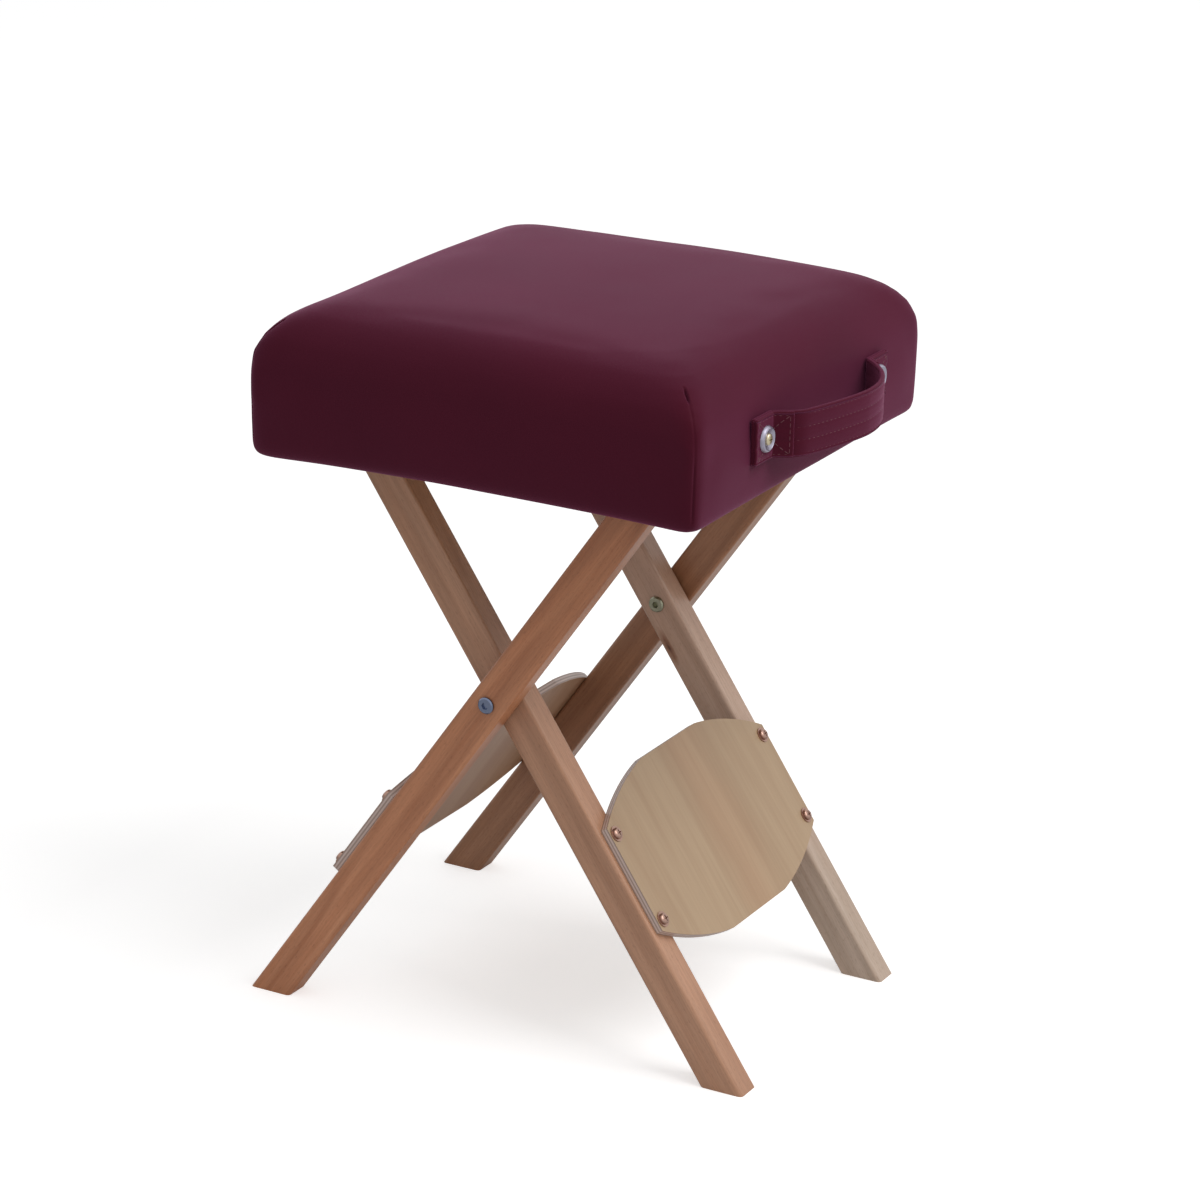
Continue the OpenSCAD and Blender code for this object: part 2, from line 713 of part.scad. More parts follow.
// The middle line on the rise and on the fall, as points [out from the face, Y], both from 0 at the flat
function rise(u) = [strap_bulge * (lift_share * lift(u) + (1 - lift_share) * slope(u, rise_power)),
    arch_y0 + (peak_y - arch_y0) * u];
function fall(w) = [strap_bulge * slope(w, fall_power), arch_y1 + (peak_y - arch_y1) * w];

near_end = [0, near_screw_y - tab_over];
far_end = [0, far_screw_y + tab_over];
strap_line = concat(
    [near_end],
    [for (k = [0 : rise_steps]) rise(k / rise_steps)],
    [for (k = [fall_steps - 1 : -1 : 0]) fall(k / fall_steps)],
    [far_end]);

// The folded layers on the ends. Each reaches a little way up its slope.
fold_steps = 4;
near_reach = (fold_len - tab_over - near_tab) / (peak_y - arch_y0);
far_reach = (fold_len - tab_over - far_tab) / strap_turn;
near_fold = concat([near_end], [for (k = [0 : fold_steps]) rise(near_reach * k / fold_steps)]);
far_fold = concat([for (k = [fold_steps : -1 : 0]) fall(far_reach * k / fold_steps)], [far_end]);

// The unit vector square to a line at its point i
function square_to(line, i) =
    let (a = line[max(i - 1, 0)], b = line[min(i + 1, len(line) - 1)], d = b - a) [d[1], -d[0]] / norm(d);

// The plan of a band that lies from inner to outer beside a line
module band(line, inner, outer) {
    last = len(line) - 1;
    polygon(concat(
        [for (i = [0 : last]) line[i] + square_to(line, i) * outer],
        [for (i = [last : -1 : 0]) line[i] + square_to(line, i) * inner]));
}

// The strap with the folded layers on its ends, which are sewn on and so are one with it
module handle_strap() {
    half = strap_t / 2;
    color(vinyl) difference() {
        translate([skirt_x + half, 0, strap_z - strap_w / 2]) linear_extrude(strap_w) {
            band(strap_line, -half, half);
            band(near_fold, 0, half + fold_t);
            band(far_fold, 0, half + fold_t);
        }
        handle_screw_holes();
    }
}

// Places a part on the outside of the strap at its two screws, its axis pointing out
module at_handle_screws() {
    for (y = [near_screw_y, far_screw_y])
        translate([tab_x, y, strap_z]) rotate([0, 90, 0]) children();
}

module handle_screw_holes() {
    at_handle_screws() translate([0, 0, -handle_screw_len])
        cylinder(h = handle_screw_len + cut, r = screw_r + soft_gap, $fn = 24);
}

// A dished ring that the head of the handle's screw sits in
dish_t = 0.9;
cup_edge = 0.3;
module handle_washers() {
    color(zinc) at_handle_screws() rotate_extrude() polygon([
        [screw_r + run_fit, 0], [cup_r, 0], [cup_r - cup_edge, cup_t * 0.4],
        [(cup_r + cup_crest_r) / 2, cup_t * 0.85], [cup_crest_r, cup_t], [cup_crest_r - cup_edge, cup_t * 0.9],
        [screw_head_r + cup_edge, dish_t], [screw_r + run_fit, dish_t]]);
}

module handle_screws() {
    color(brass) at_handle_screws() translate([0, 0, dish_t]) pan_screw(handle_screw_len);
}

outer_leg_front();
outer_leg_back();
outer_panel();
outer_panel_washers();
outer_panel_screws();
inner_leg_front();
inner_leg_back();
inner_panel();
inner_panel_washers();
inner_panel_screws();
crossbar();
crossbar_screws();
pivot_bolts();
pivot_nuts();
pivot_spacers();
seat_board();
side_rail_front();
side_rail_back();
handle_end_rail();
stop_end_rail();
stop_strip();
stop_screws();
rail_screws();
hinge_bolts();
hinge_inserts();
hinge_washers();
seat_foam();
edge_foam();
seat_cover();
cover_staples();
handle_strap();
handle_washers();
handle_screws();
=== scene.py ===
# %% [markdown]
# A folding wooden stool with a padded seat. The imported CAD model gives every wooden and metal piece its
# real place and size, so this lesson only dresses it: wood, plywood, plated steel, and a sewn cover.
# The soft pieces, which are the seat and its strap handle, are modelled here and stand for their CAD solids.

# %% Load the frame
import math

import bmesh
import bpy
from mathutils import Matrix, Vector, noise


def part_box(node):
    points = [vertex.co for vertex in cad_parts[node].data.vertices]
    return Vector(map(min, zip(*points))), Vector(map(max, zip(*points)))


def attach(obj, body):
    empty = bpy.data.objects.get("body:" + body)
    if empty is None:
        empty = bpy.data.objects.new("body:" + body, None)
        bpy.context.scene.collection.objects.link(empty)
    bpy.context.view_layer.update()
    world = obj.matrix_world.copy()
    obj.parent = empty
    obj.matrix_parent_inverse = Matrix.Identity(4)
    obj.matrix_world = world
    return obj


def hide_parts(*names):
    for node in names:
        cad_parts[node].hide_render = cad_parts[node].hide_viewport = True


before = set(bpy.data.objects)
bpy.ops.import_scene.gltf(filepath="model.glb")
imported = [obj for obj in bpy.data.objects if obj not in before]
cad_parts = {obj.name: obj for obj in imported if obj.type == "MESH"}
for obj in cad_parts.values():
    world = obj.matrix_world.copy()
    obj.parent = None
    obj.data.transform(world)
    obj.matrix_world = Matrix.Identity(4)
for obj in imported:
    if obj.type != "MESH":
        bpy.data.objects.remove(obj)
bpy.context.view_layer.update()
MM = 0.001

# %% [markdown]
# The camera stands where the photograph was taken. It could be set by eye, but it was found by matching the
# edges of the legs and the seat, so that the render can be laid over the photograph. It looks down by 19
# degrees from the right of the front, with a long lens and a slight roll.

# %% Camera
CAMERA_PLACE = Vector((1.2491, -2.2901, 1.1869))
CAMERA_TURN = math.radians(28.48)
CAMERA_DOWN = math.radians(19.39)
CAMERA_ROLL = math.radians(1.39)
CAMERA_LENS = 126.25
SENSOR_WIDTH = 36
SIGHT = 50


def camera_axes(turn, down, roll):
    """The camera's right, up and backward directions."""
    ahead = Vector((-math.sin(turn) * math.cos(down), math.cos(turn) * math.cos(down), -math.sin(down)))
    level = Vector((math.cos(turn), math.sin(turn), 0))
    above = level.cross(ahead)
    right = level * math.cos(roll) + above * math.sin(roll)
    up = above * math.cos(roll) - level * math.sin(roll)
    return right, up, -ahead


camera = bpy.data.objects.new("camera", bpy.data.cameras.new("camera"))
camera.data.lens = CAMERA_LENS
camera.data.sensor_width = SENSOR_WIDTH
camera.data.clip_end = SIGHT
axes = Matrix(camera_axes(CAMERA_TURN, CAMERA_DOWN, CAMERA_ROLL)).transposed().to_4x4()
camera.matrix_world = Matrix.Translation(CAMERA_PLACE) @ axes
bpy.context.collection.objects.link(camera)
bpy.context.scene.camera = camera
print("camera stands", round(CAMERA_PLACE.length, 2), "m away")

# %% [markdown]
# Every finish below is a small tree of nodes. One helper makes a material with its main shader, a second
# adds a node, sets its values and joins its inputs, and a third joins an output to the shader. The same
# trees could be drawn by hand in the shader editor, but written this way each finish stays short to read.

# %% Helpers that make and join nodes


def finish(name, **values):
    """A new material and its main shader, with constant values set straight on the shader's sockets."""
    made = bpy.data.materials.new(name)
    made.use_nodes = True
    shader = made.node_tree.nodes["Principled BSDF"]
    for socket, value in values.items():
        shader.inputs[socket.replace("_", " ")].default_value = value
    return made, shader


def node(owner, kind, settings=None, **inputs):
    """Adds a node to a material or a world. Each input is a value, or another node's output to join."""
    tree = owner.node_tree
    added = tree.nodes.new("ShaderNode" + kind)
    for name, value in (settings or {}).items():
        setattr(added, name, value)
    for name, value in inputs.items():
        key = int(name[1:]) if name[1:].isdigit() and name[0] == "i" else name.replace("_", " ")
        if isinstance(value, bpy.types.NodeSocket):
            tree.links.new(value, added.inputs[key])
        else:
            added.inputs[key].default_value = value
    return added


def join(material, output, shader, socket):
    """Joins a node's output to a socket of the shader."""
    material.node_tree.links.new(output, shader.inputs[socket])


# %% [markdown]
# Most finishes are a base tone, some noise that is squeezed or stretched, and a ramp that turns the noise
# into light and dark. These helpers are those steps. They all read Object coordinates, in metres, so a
# pattern keeps its real size and stays with its piece when the stool folds.

# %% Helpers for patterns and tones
BLACK, WHITE = (0, 0, 0), (1, 1, 1)
MIX_FAC, MIX_ONE, MIX_TWO, MIX_RESULT = 0, 6, 7, 2


def placed(material, centre=(0, 0, 0), turn=(0, 0, 0), scale=(1, 1, 1)):
    """Object coordinates, moved to centre, turned about it and then scaled."""
    here = node(material, "TexCoord").outputs["Object"]
    moved = node(material, "VectorMath", {"operation": "SUBTRACT"}, i0=here, i1=centre).outputs[0]
    return node(material, "Mapping", Vector=moved, Rotation=turn, Scale=scale).outputs[0]


def stretched(material, space, scale, **more):
    """A space scaled along each axis. A scale well under 1 draws a pattern out along that axis."""
    return node(material, "Mapping", Vector=space, Scale=scale, **more).outputs[0]


def speckle(material, space, scale, detail, **more):
    """Soft noise from 0 to 1. A larger scale makes smaller spots."""
    return node(material, "TexNoise", Vector=space, Scale=scale, Detail=detail, **more).outputs["Fac"]


def along_axis(material, space, axis):
    """One coordinate of a space."""
    return node(material, "SeparateXYZ", Vector=space).outputs[axis]


def maths(material, operation, *values):
    """A sum on numbers, each a value or an output."""
    inputs = {f"i{place}": value for place, value in enumerate(values)}
    return node(material, "Math", {"operation": operation}, **inputs).outputs[0]


def ranged(material, value, low, high, settings=None):
    """A number that runs from 0 at low to 1 at high."""
    return node(material, "MapRange", settings, Value=value, From_Min=low, From_Max=high).outputs[0]


def ramp(material, fac, *stops):
    """A colour ramp through (place, colour) stops."""
    added = node(material, "ValToRGB", Fac=fac)
    elements = added.color_ramp.elements
    while len(elements) < len(stops):
        elements.new(0.5)
    for element, (place, colour) in zip(elements, stops):
        element.position = place
        element.color = (*colour, 1)
    return added.outputs["Color"]


def mixed(material, fac, one, two, blend="MIX"):
    """Two colours mixed by fac."""
    added = node(material, "Mix", {"data_type": "RGBA", "blend_type": blend})
    for key, value in ((MIX_FAC, fac), (MIX_ONE, one), (MIX_TWO, two)):
        if isinstance(value, bpy.types.NodeSocket):
            material.node_tree.links.new(value, added.inputs[key])
        else:
            added.inputs[key].default_value = value if key == MIX_FAC else (*value, 1)
    return added.outputs[MIX_RESULT]


def times(material, tone, shade, share=1.0):
    """A tone multiplied by a shade, fully or by a share."""
    return mixed(material, share, tone, shade, "MULTIPLY")


def bump(material, shader, height, strength, distance):
    """Joins a bump of the given height map to the shader."""
    added = node(material, "Bump", Height=height, Strength=strength, Distance=distance)
    join(material, added.outputs[0], shader, "Normal")


# %% [markdown]
# One leg has a small brown pin knot with a dark streak along the grain. It could be a painted picture, but
# two or three tones over the distance from one point are enough: the distance is squeezed along the leg,
# which draws the knot out into a streak, and a little noise keeps its outline from being a clean oval.

# %% A pin knot
KNOT_LEG = "inner_leg_back"
KNOT_PLACE = (-0.0079, -0.010, -0.0297)
KNOT_SQUEEZE = (1, 0.4, 0.22)
KNOT_CORE, KNOT_EDGE = 0.0008, 0.0042
KNOT_WANDER = 0.0016
KNOT_TONES = ((0.0, (0.20, 0.12, 0.09)), (0.5, (0.62, 0.46, 0.38)), (1.0, WHITE))


def with_knot(made, leg, tone):
    """The tone with a knot in it. leg is the leg's own space, with its grain along Z."""
    shift = node(made, "VectorMath", {"operation": "SUBTRACT"}, i0=leg, i1=KNOT_PLACE).outputs[0]
    squeezed = stretched(made, shift, KNOT_SQUEEZE)
    distance = node(made, "VectorMath", {"operation": "LENGTH"}, i0=squeezed).outputs["Value"]
    wander = speckle(made, leg, 300, 2)
    uneven = maths(made, "MULTIPLY_ADD", wander, KNOT_WANDER, distance)
    core = ramp(made, ranged(made, uneven, KNOT_CORE, KNOT_EDGE), *KNOT_TONES)
    return times(made, tone, core)


print("the knot lies", round(-KNOT_PLACE[2] / MM), "mm below the pivot on", KNOT_LEG)

# %% [markdown]
# The legs are beech, planed and varnished. Beech shows four things up close: long fine fibres, broad soft
# bands where the growth rings meet the face, wavy arches where the saw ran nearly along a ring, and short
# dark flecks. A picture of wood would repeat and would need unwrapping, so all four are patterns stretched
# along the leg, and the space they lie in is turned to the leg's slope.

# %% Beech
LEG_SLOPE = 55.4
PIVOT_HEIGHT = 0.238
BOARD_APART = (1.7, 0.9, 2.3)
ARCH_SHIFT, ARCH_STEP = 0.004, 0.003
# Where the painted shade under the seat starts along the leg, and where it is full
SEAT_SHADE_LOW, SEAT_SHADE_HIGH = -0.22, 0.11
FLECK_SHARE = 0.55


def beech_figure(made, leg, seed):
    """The fibres, bands, arches, flecks and broad clouds of one board. Each seed is another board."""
    shifted = node(made, "Mapping", Vector=leg, Location=[seed * step for step in BOARD_APART]).outputs[0]
    fibres = speckle(made, stretched(made, shifted, (1, 1, 0.03)), 900, 5, Roughness=0.65)
    bands = speckle(made, stretched(made, shifted, (1, 0.6, 0.05)), 130, 3, Distortion=0.6)
    flecks = speckle(made, stretched(made, shifted, (1, 1, 0.16)), 1500, 1)
    arch_place = (ARCH_SHIFT * (-1) ** seed, 0, ARCH_STEP * seed)
    arch_space = stretched(made, leg, (1, 0.5, 0.06), Location=arch_place)
    arches = node(made, "TexWave", {"wave_type": "RINGS", "rings_direction": "Y"}, Vector=arch_space,
                  Scale=32, Distortion=5, Detail=2, Detail_Scale=1.8).outputs["Fac"]
    return fibres, bands, arches, flecks, speckle(made, shifted, 9, 1)


def beech(name, side, y, pale, dark, seat_shade, seed):
    """Varnished beech with its grain along a leg, and painted shade at its upper end under the seat. side is
    1 for an outer leg and -1 for an inner leg.
    """
    made, shader = finish(name, Roughness=0.42, Coat_Weight=0.12, Coat_Roughness=0.25)
    tilt = math.radians(90 - LEG_SLOPE) * side
    leg = placed(made, centre=(0, y, PIVOT_HEIGHT), turn=(0, -tilt, 0))
    fibres, bands, arches, flecks, broad = beech_figure(made, leg, seed)
    middle = [(a + b) / 2 for a, b in zip(pale, dark)]
    tone = mixed(made, ramp(made, bands, (0.35, BLACK), (0.68, WHITE)), pale, dark)
    tone = mixed(made, ramp(made, broad, (0.3, BLACK), (0.75, (0.5, 0.5, 0.5))), tone, middle)
    tone = times(made, tone, ramp(made, fibres, (0.3, (0.84, 0.82, 0.8)), (0.7, (1.08, 1.07, 1.06))))
    tone = times(made, tone, ramp(made, arches, (0.1, (1.045, 1.045, 1.045)), (1.0, (0.915, 0.90, 0.885))))
    tone = times(made, tone, ramp(made, flecks, (0.3, (0.68, 0.62, 0.58)), (0.4, WHITE)), FLECK_SHARE)
    # Painted shade: the tone darkens towards the upper end, where the seat shades the leg
    height = ranged(made, along_axis(made, leg, "Z"), SEAT_SHADE_LOW, SEAT_SHADE_HIGH)
    tone = times(made, tone, ramp(made, height, (0.0, WHITE), (1.0, seat_shade)))
    if name.startswith(KNOT_LEG):
        tone = with_knot(made, leg, tone)
    join(made, tone, shader, "Base Color")
    bump(made, shader, fibres, 0.12, 0.0004)
    return made


# %% [markdown]
# The four legs come from different boards, and the photograph shows it: the outer front leg is reddish and
# the inner back leg is nearly straw-coloured. Each also gets darker towards the seat, which is painted shade
# of the seat over their upper ends. One finish could serve all four, but the difference is easy to see, so
# each leg has its own tones and its own figure.

# %% The four legs
LEG_Y = {"outer": 0.125, "inner": 0.103}
# Each is the pale tone, the dark tone, and the painted shade that the tone is multiplied by at the upper
# end, under the seat
REDDISH = ((0.60, 0.27, 0.138), (0.46, 0.175, 0.076), (0.77, 0.70, 0.62))
PINKISH = ((0.52, 0.285, 0.178), (0.42, 0.21, 0.12), (0.89, 0.87, 0.84))
STRAW = ((0.565, 0.445, 0.36), (0.48, 0.355, 0.27), (0.83, 0.595, 0.50))
BROWN = ((0.38, 0.185, 0.10), (0.30, 0.135, 0.065), (0.95, 0.90, 0.85))
LEGS = {
    "outer_leg_front": (1, -LEG_Y["outer"], REDDISH, 1),
    "outer_leg_back": (1, LEG_Y["outer"], BROWN, 2),
    "inner_leg_front": (-1, -LEG_Y["inner"], PINKISH, 3),
    "inner_leg_back": (-1, LEG_Y["inner"], STRAW, 4),
}


def dress(material, *names):
    """Gives CAD nodes their finish."""
    for name in names:
        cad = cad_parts[name]
        if not cad.material_slots:
            cad.data.materials.append(material)
        for slot in cad.material_slots:
            slot.material = material


for name, (side, y, tones, seed) in LEGS.items():
    dress(beech(name + "_beech", side, y, *tones, seed), name)
print("dressed", len(LEGS), "legs")

# %% [markdown]
# The crossbar, rails and stop strip are plain sanded beech that hardly shows, so they do with fibres and
# bands alone and have no varnish. Their grain runs along their length, as it does when strips are sawn from
# a board, which is along Y for the cross pieces and along X for the side rails.

# %% Bare wood under the seat
BARE_PALE = (0.56, 0.36, 0.22)
BARE_DARK = (0.44, 0.26, 0.15)
QUARTER = math.radians(90)
CROSS_PIECES = ("crossbar", "handle_end_rail", "stop_end_rail", "stop_strip")
SIDE_PIECES = ("side_rail_front", "side_rail_back")


def bare_wood(name, turn):
    """Sanded wood with its grain along the direction that turn brings to Z."""
    made, shader = finish(name, Roughness=0.62)
    space = placed(made, turn=turn, scale=(1, 1, 0.035))
    fibres = speckle(made, space, 700, 5, Roughness=0.6)
    bands = speckle(made, space, 110, 2, Distortion=0.5)
    tone = mixed(made, ramp(made, bands, (0.38, BLACK), (0.65, WHITE)), BARE_PALE, BARE_DARK)
    tone = times(made, tone, ramp(made, fibres, (0.3, (0.86, 0.85, 0.83)), (0.7, (1.06, 1.05, 1.05))))
    join(made, tone, shader, "Base Color")
    bump(made, shader, fibres, 0.2, 0.0004)
    return made


dress(bare_wood("cross_grain_beech", (QUARTER, 0, 0)), *CROSS_PIECES)
dress(bare_wood("rail_beech", (0, QUARTER, 0)), *SIDE_PIECES)
print("bare wood on", len(CROSS_PIECES + SIDE_PIECES), "pieces")

# %% [markdown]
# The panels are thin birch plywood, and the seat's board is a thicker one. Their edges show the plies as
# stripes. The stripes could be painted on the edge faces, but they need no drawing of edges: they depend
# only on the depth in the sheet, so a face, which lies at one depth, keeps one colour.

# %% Plies
PLY_PALE = (0.60, 0.47, 0.42)
PLY_DARK = (0.36, 0.26, 0.22)
FACE_DEPTH = 0.47


def with_plies(made, space, thickness, plies, tone):
    """The face's tone with stripes inside the sheet. The depth runs along X from the sheet's middle."""
    depth = along_axis(made, space, "X")
    wave = maths(made, "COSINE", maths(made, "MULTIPLY", depth, plies * math.pi / thickness))
    inside = maths(made, "LESS_THAN", maths(made, "ABSOLUTE", depth), thickness * FACE_DEPTH)
    stripes = ramp(made, wave, (0.0, BLACK), (0.25, WHITE))
    return mixed(made, inside, tone, mixed(made, stripes, PLY_PALE, PLY_DARK))


# %% [markdown]
# The inner panel's veneer isn't one colour: in the photograph a soft pinkish blush runs down it beside its
# middle. Its upper end is darker and its lower end a little lighter, which is painted shade of the seat
# above it. More noise would put such tones anywhere, so they are made from the distance across the panel
# and the height along it, with a little cloud to keep them soft.

# %% A blush and painted shade
BLUSH = (1.0, 0.93, 0.90)
BLUSH_Y = 0.012
BLUSH_CLOUD = 0.03
BLUSH_OUT, BLUSH_IN = 0.034, 0.004
# The painted shade: a little lighter low on the panel and darker at its upper end, under the seat
SHADE_FADE_LOW, SHADE_FADE_HIGH = -0.20, -0.08
SHADE_FADE_TONES = ((0.0, (1.06, 1.06, 1.06)), (1.0, (0.90, 0.89, 0.87)))
SMOOTH = {"interpolation_type": "SMOOTHSTEP"}


def with_blush(made, space, tone):
    """The tone with the pinkish band along the panel, and painted shade that darkens it towards its upper
    end.
    """
    cloud = speckle(made, space, 22, 1)
    shift = maths(made, "MULTIPLY_ADD", cloud, BLUSH_CLOUD, along_axis(made, space, "Y"))
    away = maths(made, "ABSOLUTE", maths(made, "SUBTRACT", shift, BLUSH_Y + BLUSH_CLOUD / 2))
    near = ranged(made, away, BLUSH_OUT, BLUSH_IN, SMOOTH)
    tone = mixed(made, near, tone, times(made, tone, BLUSH))
    # Painted shade: the panel darkens towards its upper end, under the seat
    height = ranged(made, along_axis(made, space, "Z"), SHADE_FADE_LOW, SHADE_FADE_HIGH)
    return times(made, tone, ramp(made, height, *SHADE_FADE_TONES))


# %% [markdown]
# The face of a plywood panel is a peeled veneer: pale, with fine streaks along the grain and broader waves
# where the knife ran through the rings. It is varnished like the legs. The grain of both panels runs along
# the legs, so their space is turned with the leg frame that they belong to.

# %% Birch plywood
PANEL_T = 0.0055
PANEL_PLIES = 5
LEG_DEPTH = 0.025
GRAIN = 0.05
BOARD_PLIES = 9
INNER_VENEER = ((0.43, 0.295, 0.178), (0.375, 0.24, 0.137))
# Painted shade: the outer panel's tones are a darker, browner copy of the same birch, for its face that lies
# in shade
OUTER_VENEER_IN_SHADE = ((0.42, 0.25, 0.155), (0.35, 0.19, 0.105))


def plywood(name, middle, turn, thickness, plies, grain, veneer=INNER_VENEER, blush=False):
    """Varnished plywood whose depth runs along the turned X axis from the middle of the sheet."""
    made, shader = finish(name, Roughness=0.4, Coat_Weight=0.15, Coat_Roughness=0.22)
    space = placed(made, centre=middle, turn=turn)
    streak_space = stretched(made, space, grain)
    streaks = speckle(made, streak_space, 420, 5, Roughness=0.6)
    waves = speckle(made, streak_space, 55, 2, Distortion=0.8)
    tone = mixed(made, ramp(made, waves, (0.38, BLACK), (0.68, WHITE)), *veneer)
    tone = times(made, tone, ramp(made, streaks, (0.3, (0.94, 0.93, 0.91)), (0.7, (1.03, 1.03, 1.02))))
    # The blush is the veneer's own tone; the fade that comes with it is painted shade
    if blush:
        tone = with_blush(made, space, tone)
    join(made, with_plies(made, space, thickness, plies, tone), shader, "Base Color")
    bump(made, shader, streaks, 0.1, 0.0003)
    return made


def panel_finish(name, side, **extras):
    """The plywood of the panel on one of the two frames."""
    tilt = math.radians(90 - LEG_SLOPE) * side
    out = Vector((-side, 0, 0)) * (LEG_DEPTH + PANEL_T) / 2
    middle = Vector((0, 0, PIVOT_HEIGHT)) + Matrix.Rotation(tilt, 3, "Y") @ out
    return plywood(name, middle, (0, -tilt, 0), PANEL_T, PANEL_PLIES, (1, 1, GRAIN), **extras)


dress(panel_finish("inner_panel_birch", -1, blush=True), "inner_panel")
# The outer panel gets the darker copy of the birch, which is painted shade
dress(panel_finish("outer_panel_birch_painted_shade", 1, veneer=OUTER_VENEER_IN_SHADE), "outer_panel")
board_low, board_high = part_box("seat_board")
board_t = board_high.z - board_low.z
board_middle = (board_low + board_high) / 2
dress(plywood("seat_board_birch", board_middle, (0, QUARTER, 0), board_t, BOARD_PLIES, (1, GRAIN, 1)),
      "seat_board")
print("plywood board", round(board_t / MM, 1), "mm thick")

# %% [markdown]
# The fasteners are steel with thin plating: bluish zinc on the bolts and washers, yellow on the sleeve nuts
# and the handle's screws, and a coppery tone on the panel screws. A plain metal would look like plastic,
# because plating is never even, so the colour and the gloss wander a little over each head.

# %% Plated steel


def plated(name, colour, roughness):
    """Plated steel with a slightly uneven colour and gloss."""
    made, shader = finish(name, Metallic=1.0)
    space = placed(made)
    cloud = speckle(made, space, 600, 3)
    tone = mixed(made, cloud, [c * 0.86 for c in colour], [c * 1.1 for c in colour])
    join(made, tone, shader, "Base Color")
    gloss = node(made, "MapRange", Value=cloud, To_Min=roughness * 0.8, To_Max=roughness * 1.3).outputs[0]
    join(made, gloss, shader, "Roughness")
    bump(made, shader, speckle(made, space, 2500, 2), 0.08, 0.0001)
    return made


# Each plating is its name, colour and roughness, and then the pieces that have it
PLATINGS = (
    ("bolt_zinc", (0.18, 0.21, 0.30), 0.24, "pivot_bolts"),
    ("blue_zinc", (0.56, 0.61, 0.70), 0.3, "hinge_bolts", "crossbar_screws", "pivot_spacers",
     "stop_screws", "rail_screws", "hinge_washers", "cover_staples"),
    ("washer_zinc", (0.40, 0.38, 0.47), 0.36, "handle_washers"),
    ("yellow_zinc", (0.64, 0.56, 0.38), 0.34, "handle_screws"),
    ("sleeve_nut_zinc", (0.30, 0.30, 0.22), 0.3, "pivot_nuts", "hinge_inserts"),
    ("coppered_steel", (0.40, 0.25, 0.20), 0.3, "outer_panel_washers", "outer_panel_screws",
     "inner_panel_washers", "inner_panel_screws"),
)
for name, colour, roughness, *pieces in PLATINGS:
    dress(plated(name, colour, roughness), *pieces)
    print(name, "on", *pieces)

# %% [markdown]
# The seat is foam on a board under one stretched cover of burgundy coated fabric. A cushion can be modelled
# from a box, but the CAD cover already has the right size, as a hollow shell. So the hull round its points
# is taken as the closed outside form, and remeshed into even cells that a cloth simulation can bend.

# %% The seat's closed outside form
CELL = 0.005
SAME_POINT = 0.00001
seat_low, seat_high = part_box("seat_cover")
seat_middle = (seat_low + seat_high) / 2
half_seat = (seat_high - seat_low) / 2


def new_piece(name, bm, smooth=True):
    """A scene object made from a bmesh, which is then freed."""
    mesh = bpy.data.meshes.new(name)
    bm.to_mesh(mesh)
    bm.free()
    for face in mesh.polygons:
        face.use_smooth = smooth
    made = bpy.data.objects.new(name, mesh)
    bpy.context.collection.objects.link(made)
    return made


def applied(piece):
    """Bakes the piece's modifiers into its mesh."""
    graph = bpy.context.evaluated_depsgraph_get()
    baked = bpy.data.meshes.new_from_object(piece.evaluated_get(graph))
    piece.modifiers.clear()
    piece.data = baked


def closed_seat():
    """The convex outside form of the CAD cover."""
    bm = bmesh.new()
    bm.from_mesh(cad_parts["seat_cover"].data)
    bmesh.ops.remove_doubles(bm, verts=bm.verts, dist=SAME_POINT)
    hull = bmesh.ops.convex_hull(bm, input=bm.verts)
    hull_faces = {g for g in hull["geom"] if isinstance(g, bmesh.types.BMFace)}
    bmesh.ops.delete(bm, geom=[f for f in bm.faces if f not in hull_faces], context="FACES")
    loose = [v for v in bm.verts if not v.link_faces]
    bmesh.ops.delete(bm, geom=loose, context="VERTS")
    bmesh.ops.recalc_face_normals(bm, faces=bm.faces)
    return bm


seat = new_piece("seat_cushion", closed_seat())
remesh = seat.modifiers.new("even cells", "REMESH")
remesh.mode = "VOXEL"
remesh.voxel_size = CELL
remesh.use_smooth_shade = True
applied(seat)
print("seat form has", len(seat.data.vertices), "points")

# %% [markdown]
# Foam presses a stretched cover outwards, most where nothing holds it. A bulge could be drawn by hand, but a
# short cloth simulation with a little pressure finds it, held still along the hem, as staples do. The form
# starts a little too small, since it swells, and how far a point may move is capped and evened out over its
# neighbours, so that the seat keeps the photographed outline and its taut, smooth faces.

# %% Puff the seat
PUFF_PRESSURE = 4.0
PUFF_CAP = 0.002
PUFF_START = 0.0004
PUFF_FRAMES = 20
PULL_IN = 0.15
EVEN_ROUNDS = 14
HELD_BAND = 0.008
TINY = 1e-9


def evened(piece, moves, rounds):
    """The moves of a piece's points, each averaged with its neighbours' so that short wrinkles go."""
    around = [[] for _ in moves]
    for edge in piece.data.edges:
        a, b = edge.vertices
        around[a].append(b)
        around[b].append(a)
    for _ in range(rounds):
        moves = [(move + sum((moves[k] for k in near), Vector()) / len(near)) / 2
                 for move, near in zip(moves, around)]
    return moves


def under_hem(point):
    """Whether a point is low enough to be held by the staples."""
    return point.z < seat_low.z + HELD_BAND


def simulated(piece, pressure, held):
    """Runs the cloth simulation on a piece and bakes its last frame. Held points stay where they are."""
    group = piece.vertex_groups.new(name="held")
    group.add(held, 1.0, "REPLACE")
    cloth = piece.modifiers.new("puff", "CLOTH")
    cloth.settings.vertex_group_mass = "held"
    cloth.settings.use_pressure = True
    cloth.settings.uniform_pressure_force = pressure
    cloth.settings.effector_weights.gravity = 0
    cloth.settings.mass = 0.15
    cloth.settings.tension_stiffness = 25
    cloth.settings.compression_stiffness = 25
    cloth.settings.bending_stiffness = 2
    for number in range(1, PUFF_FRAMES + 1):
        bpy.context.scene.frame_set(number)
    applied(piece)
    bpy.context.scene.frame_set(1)


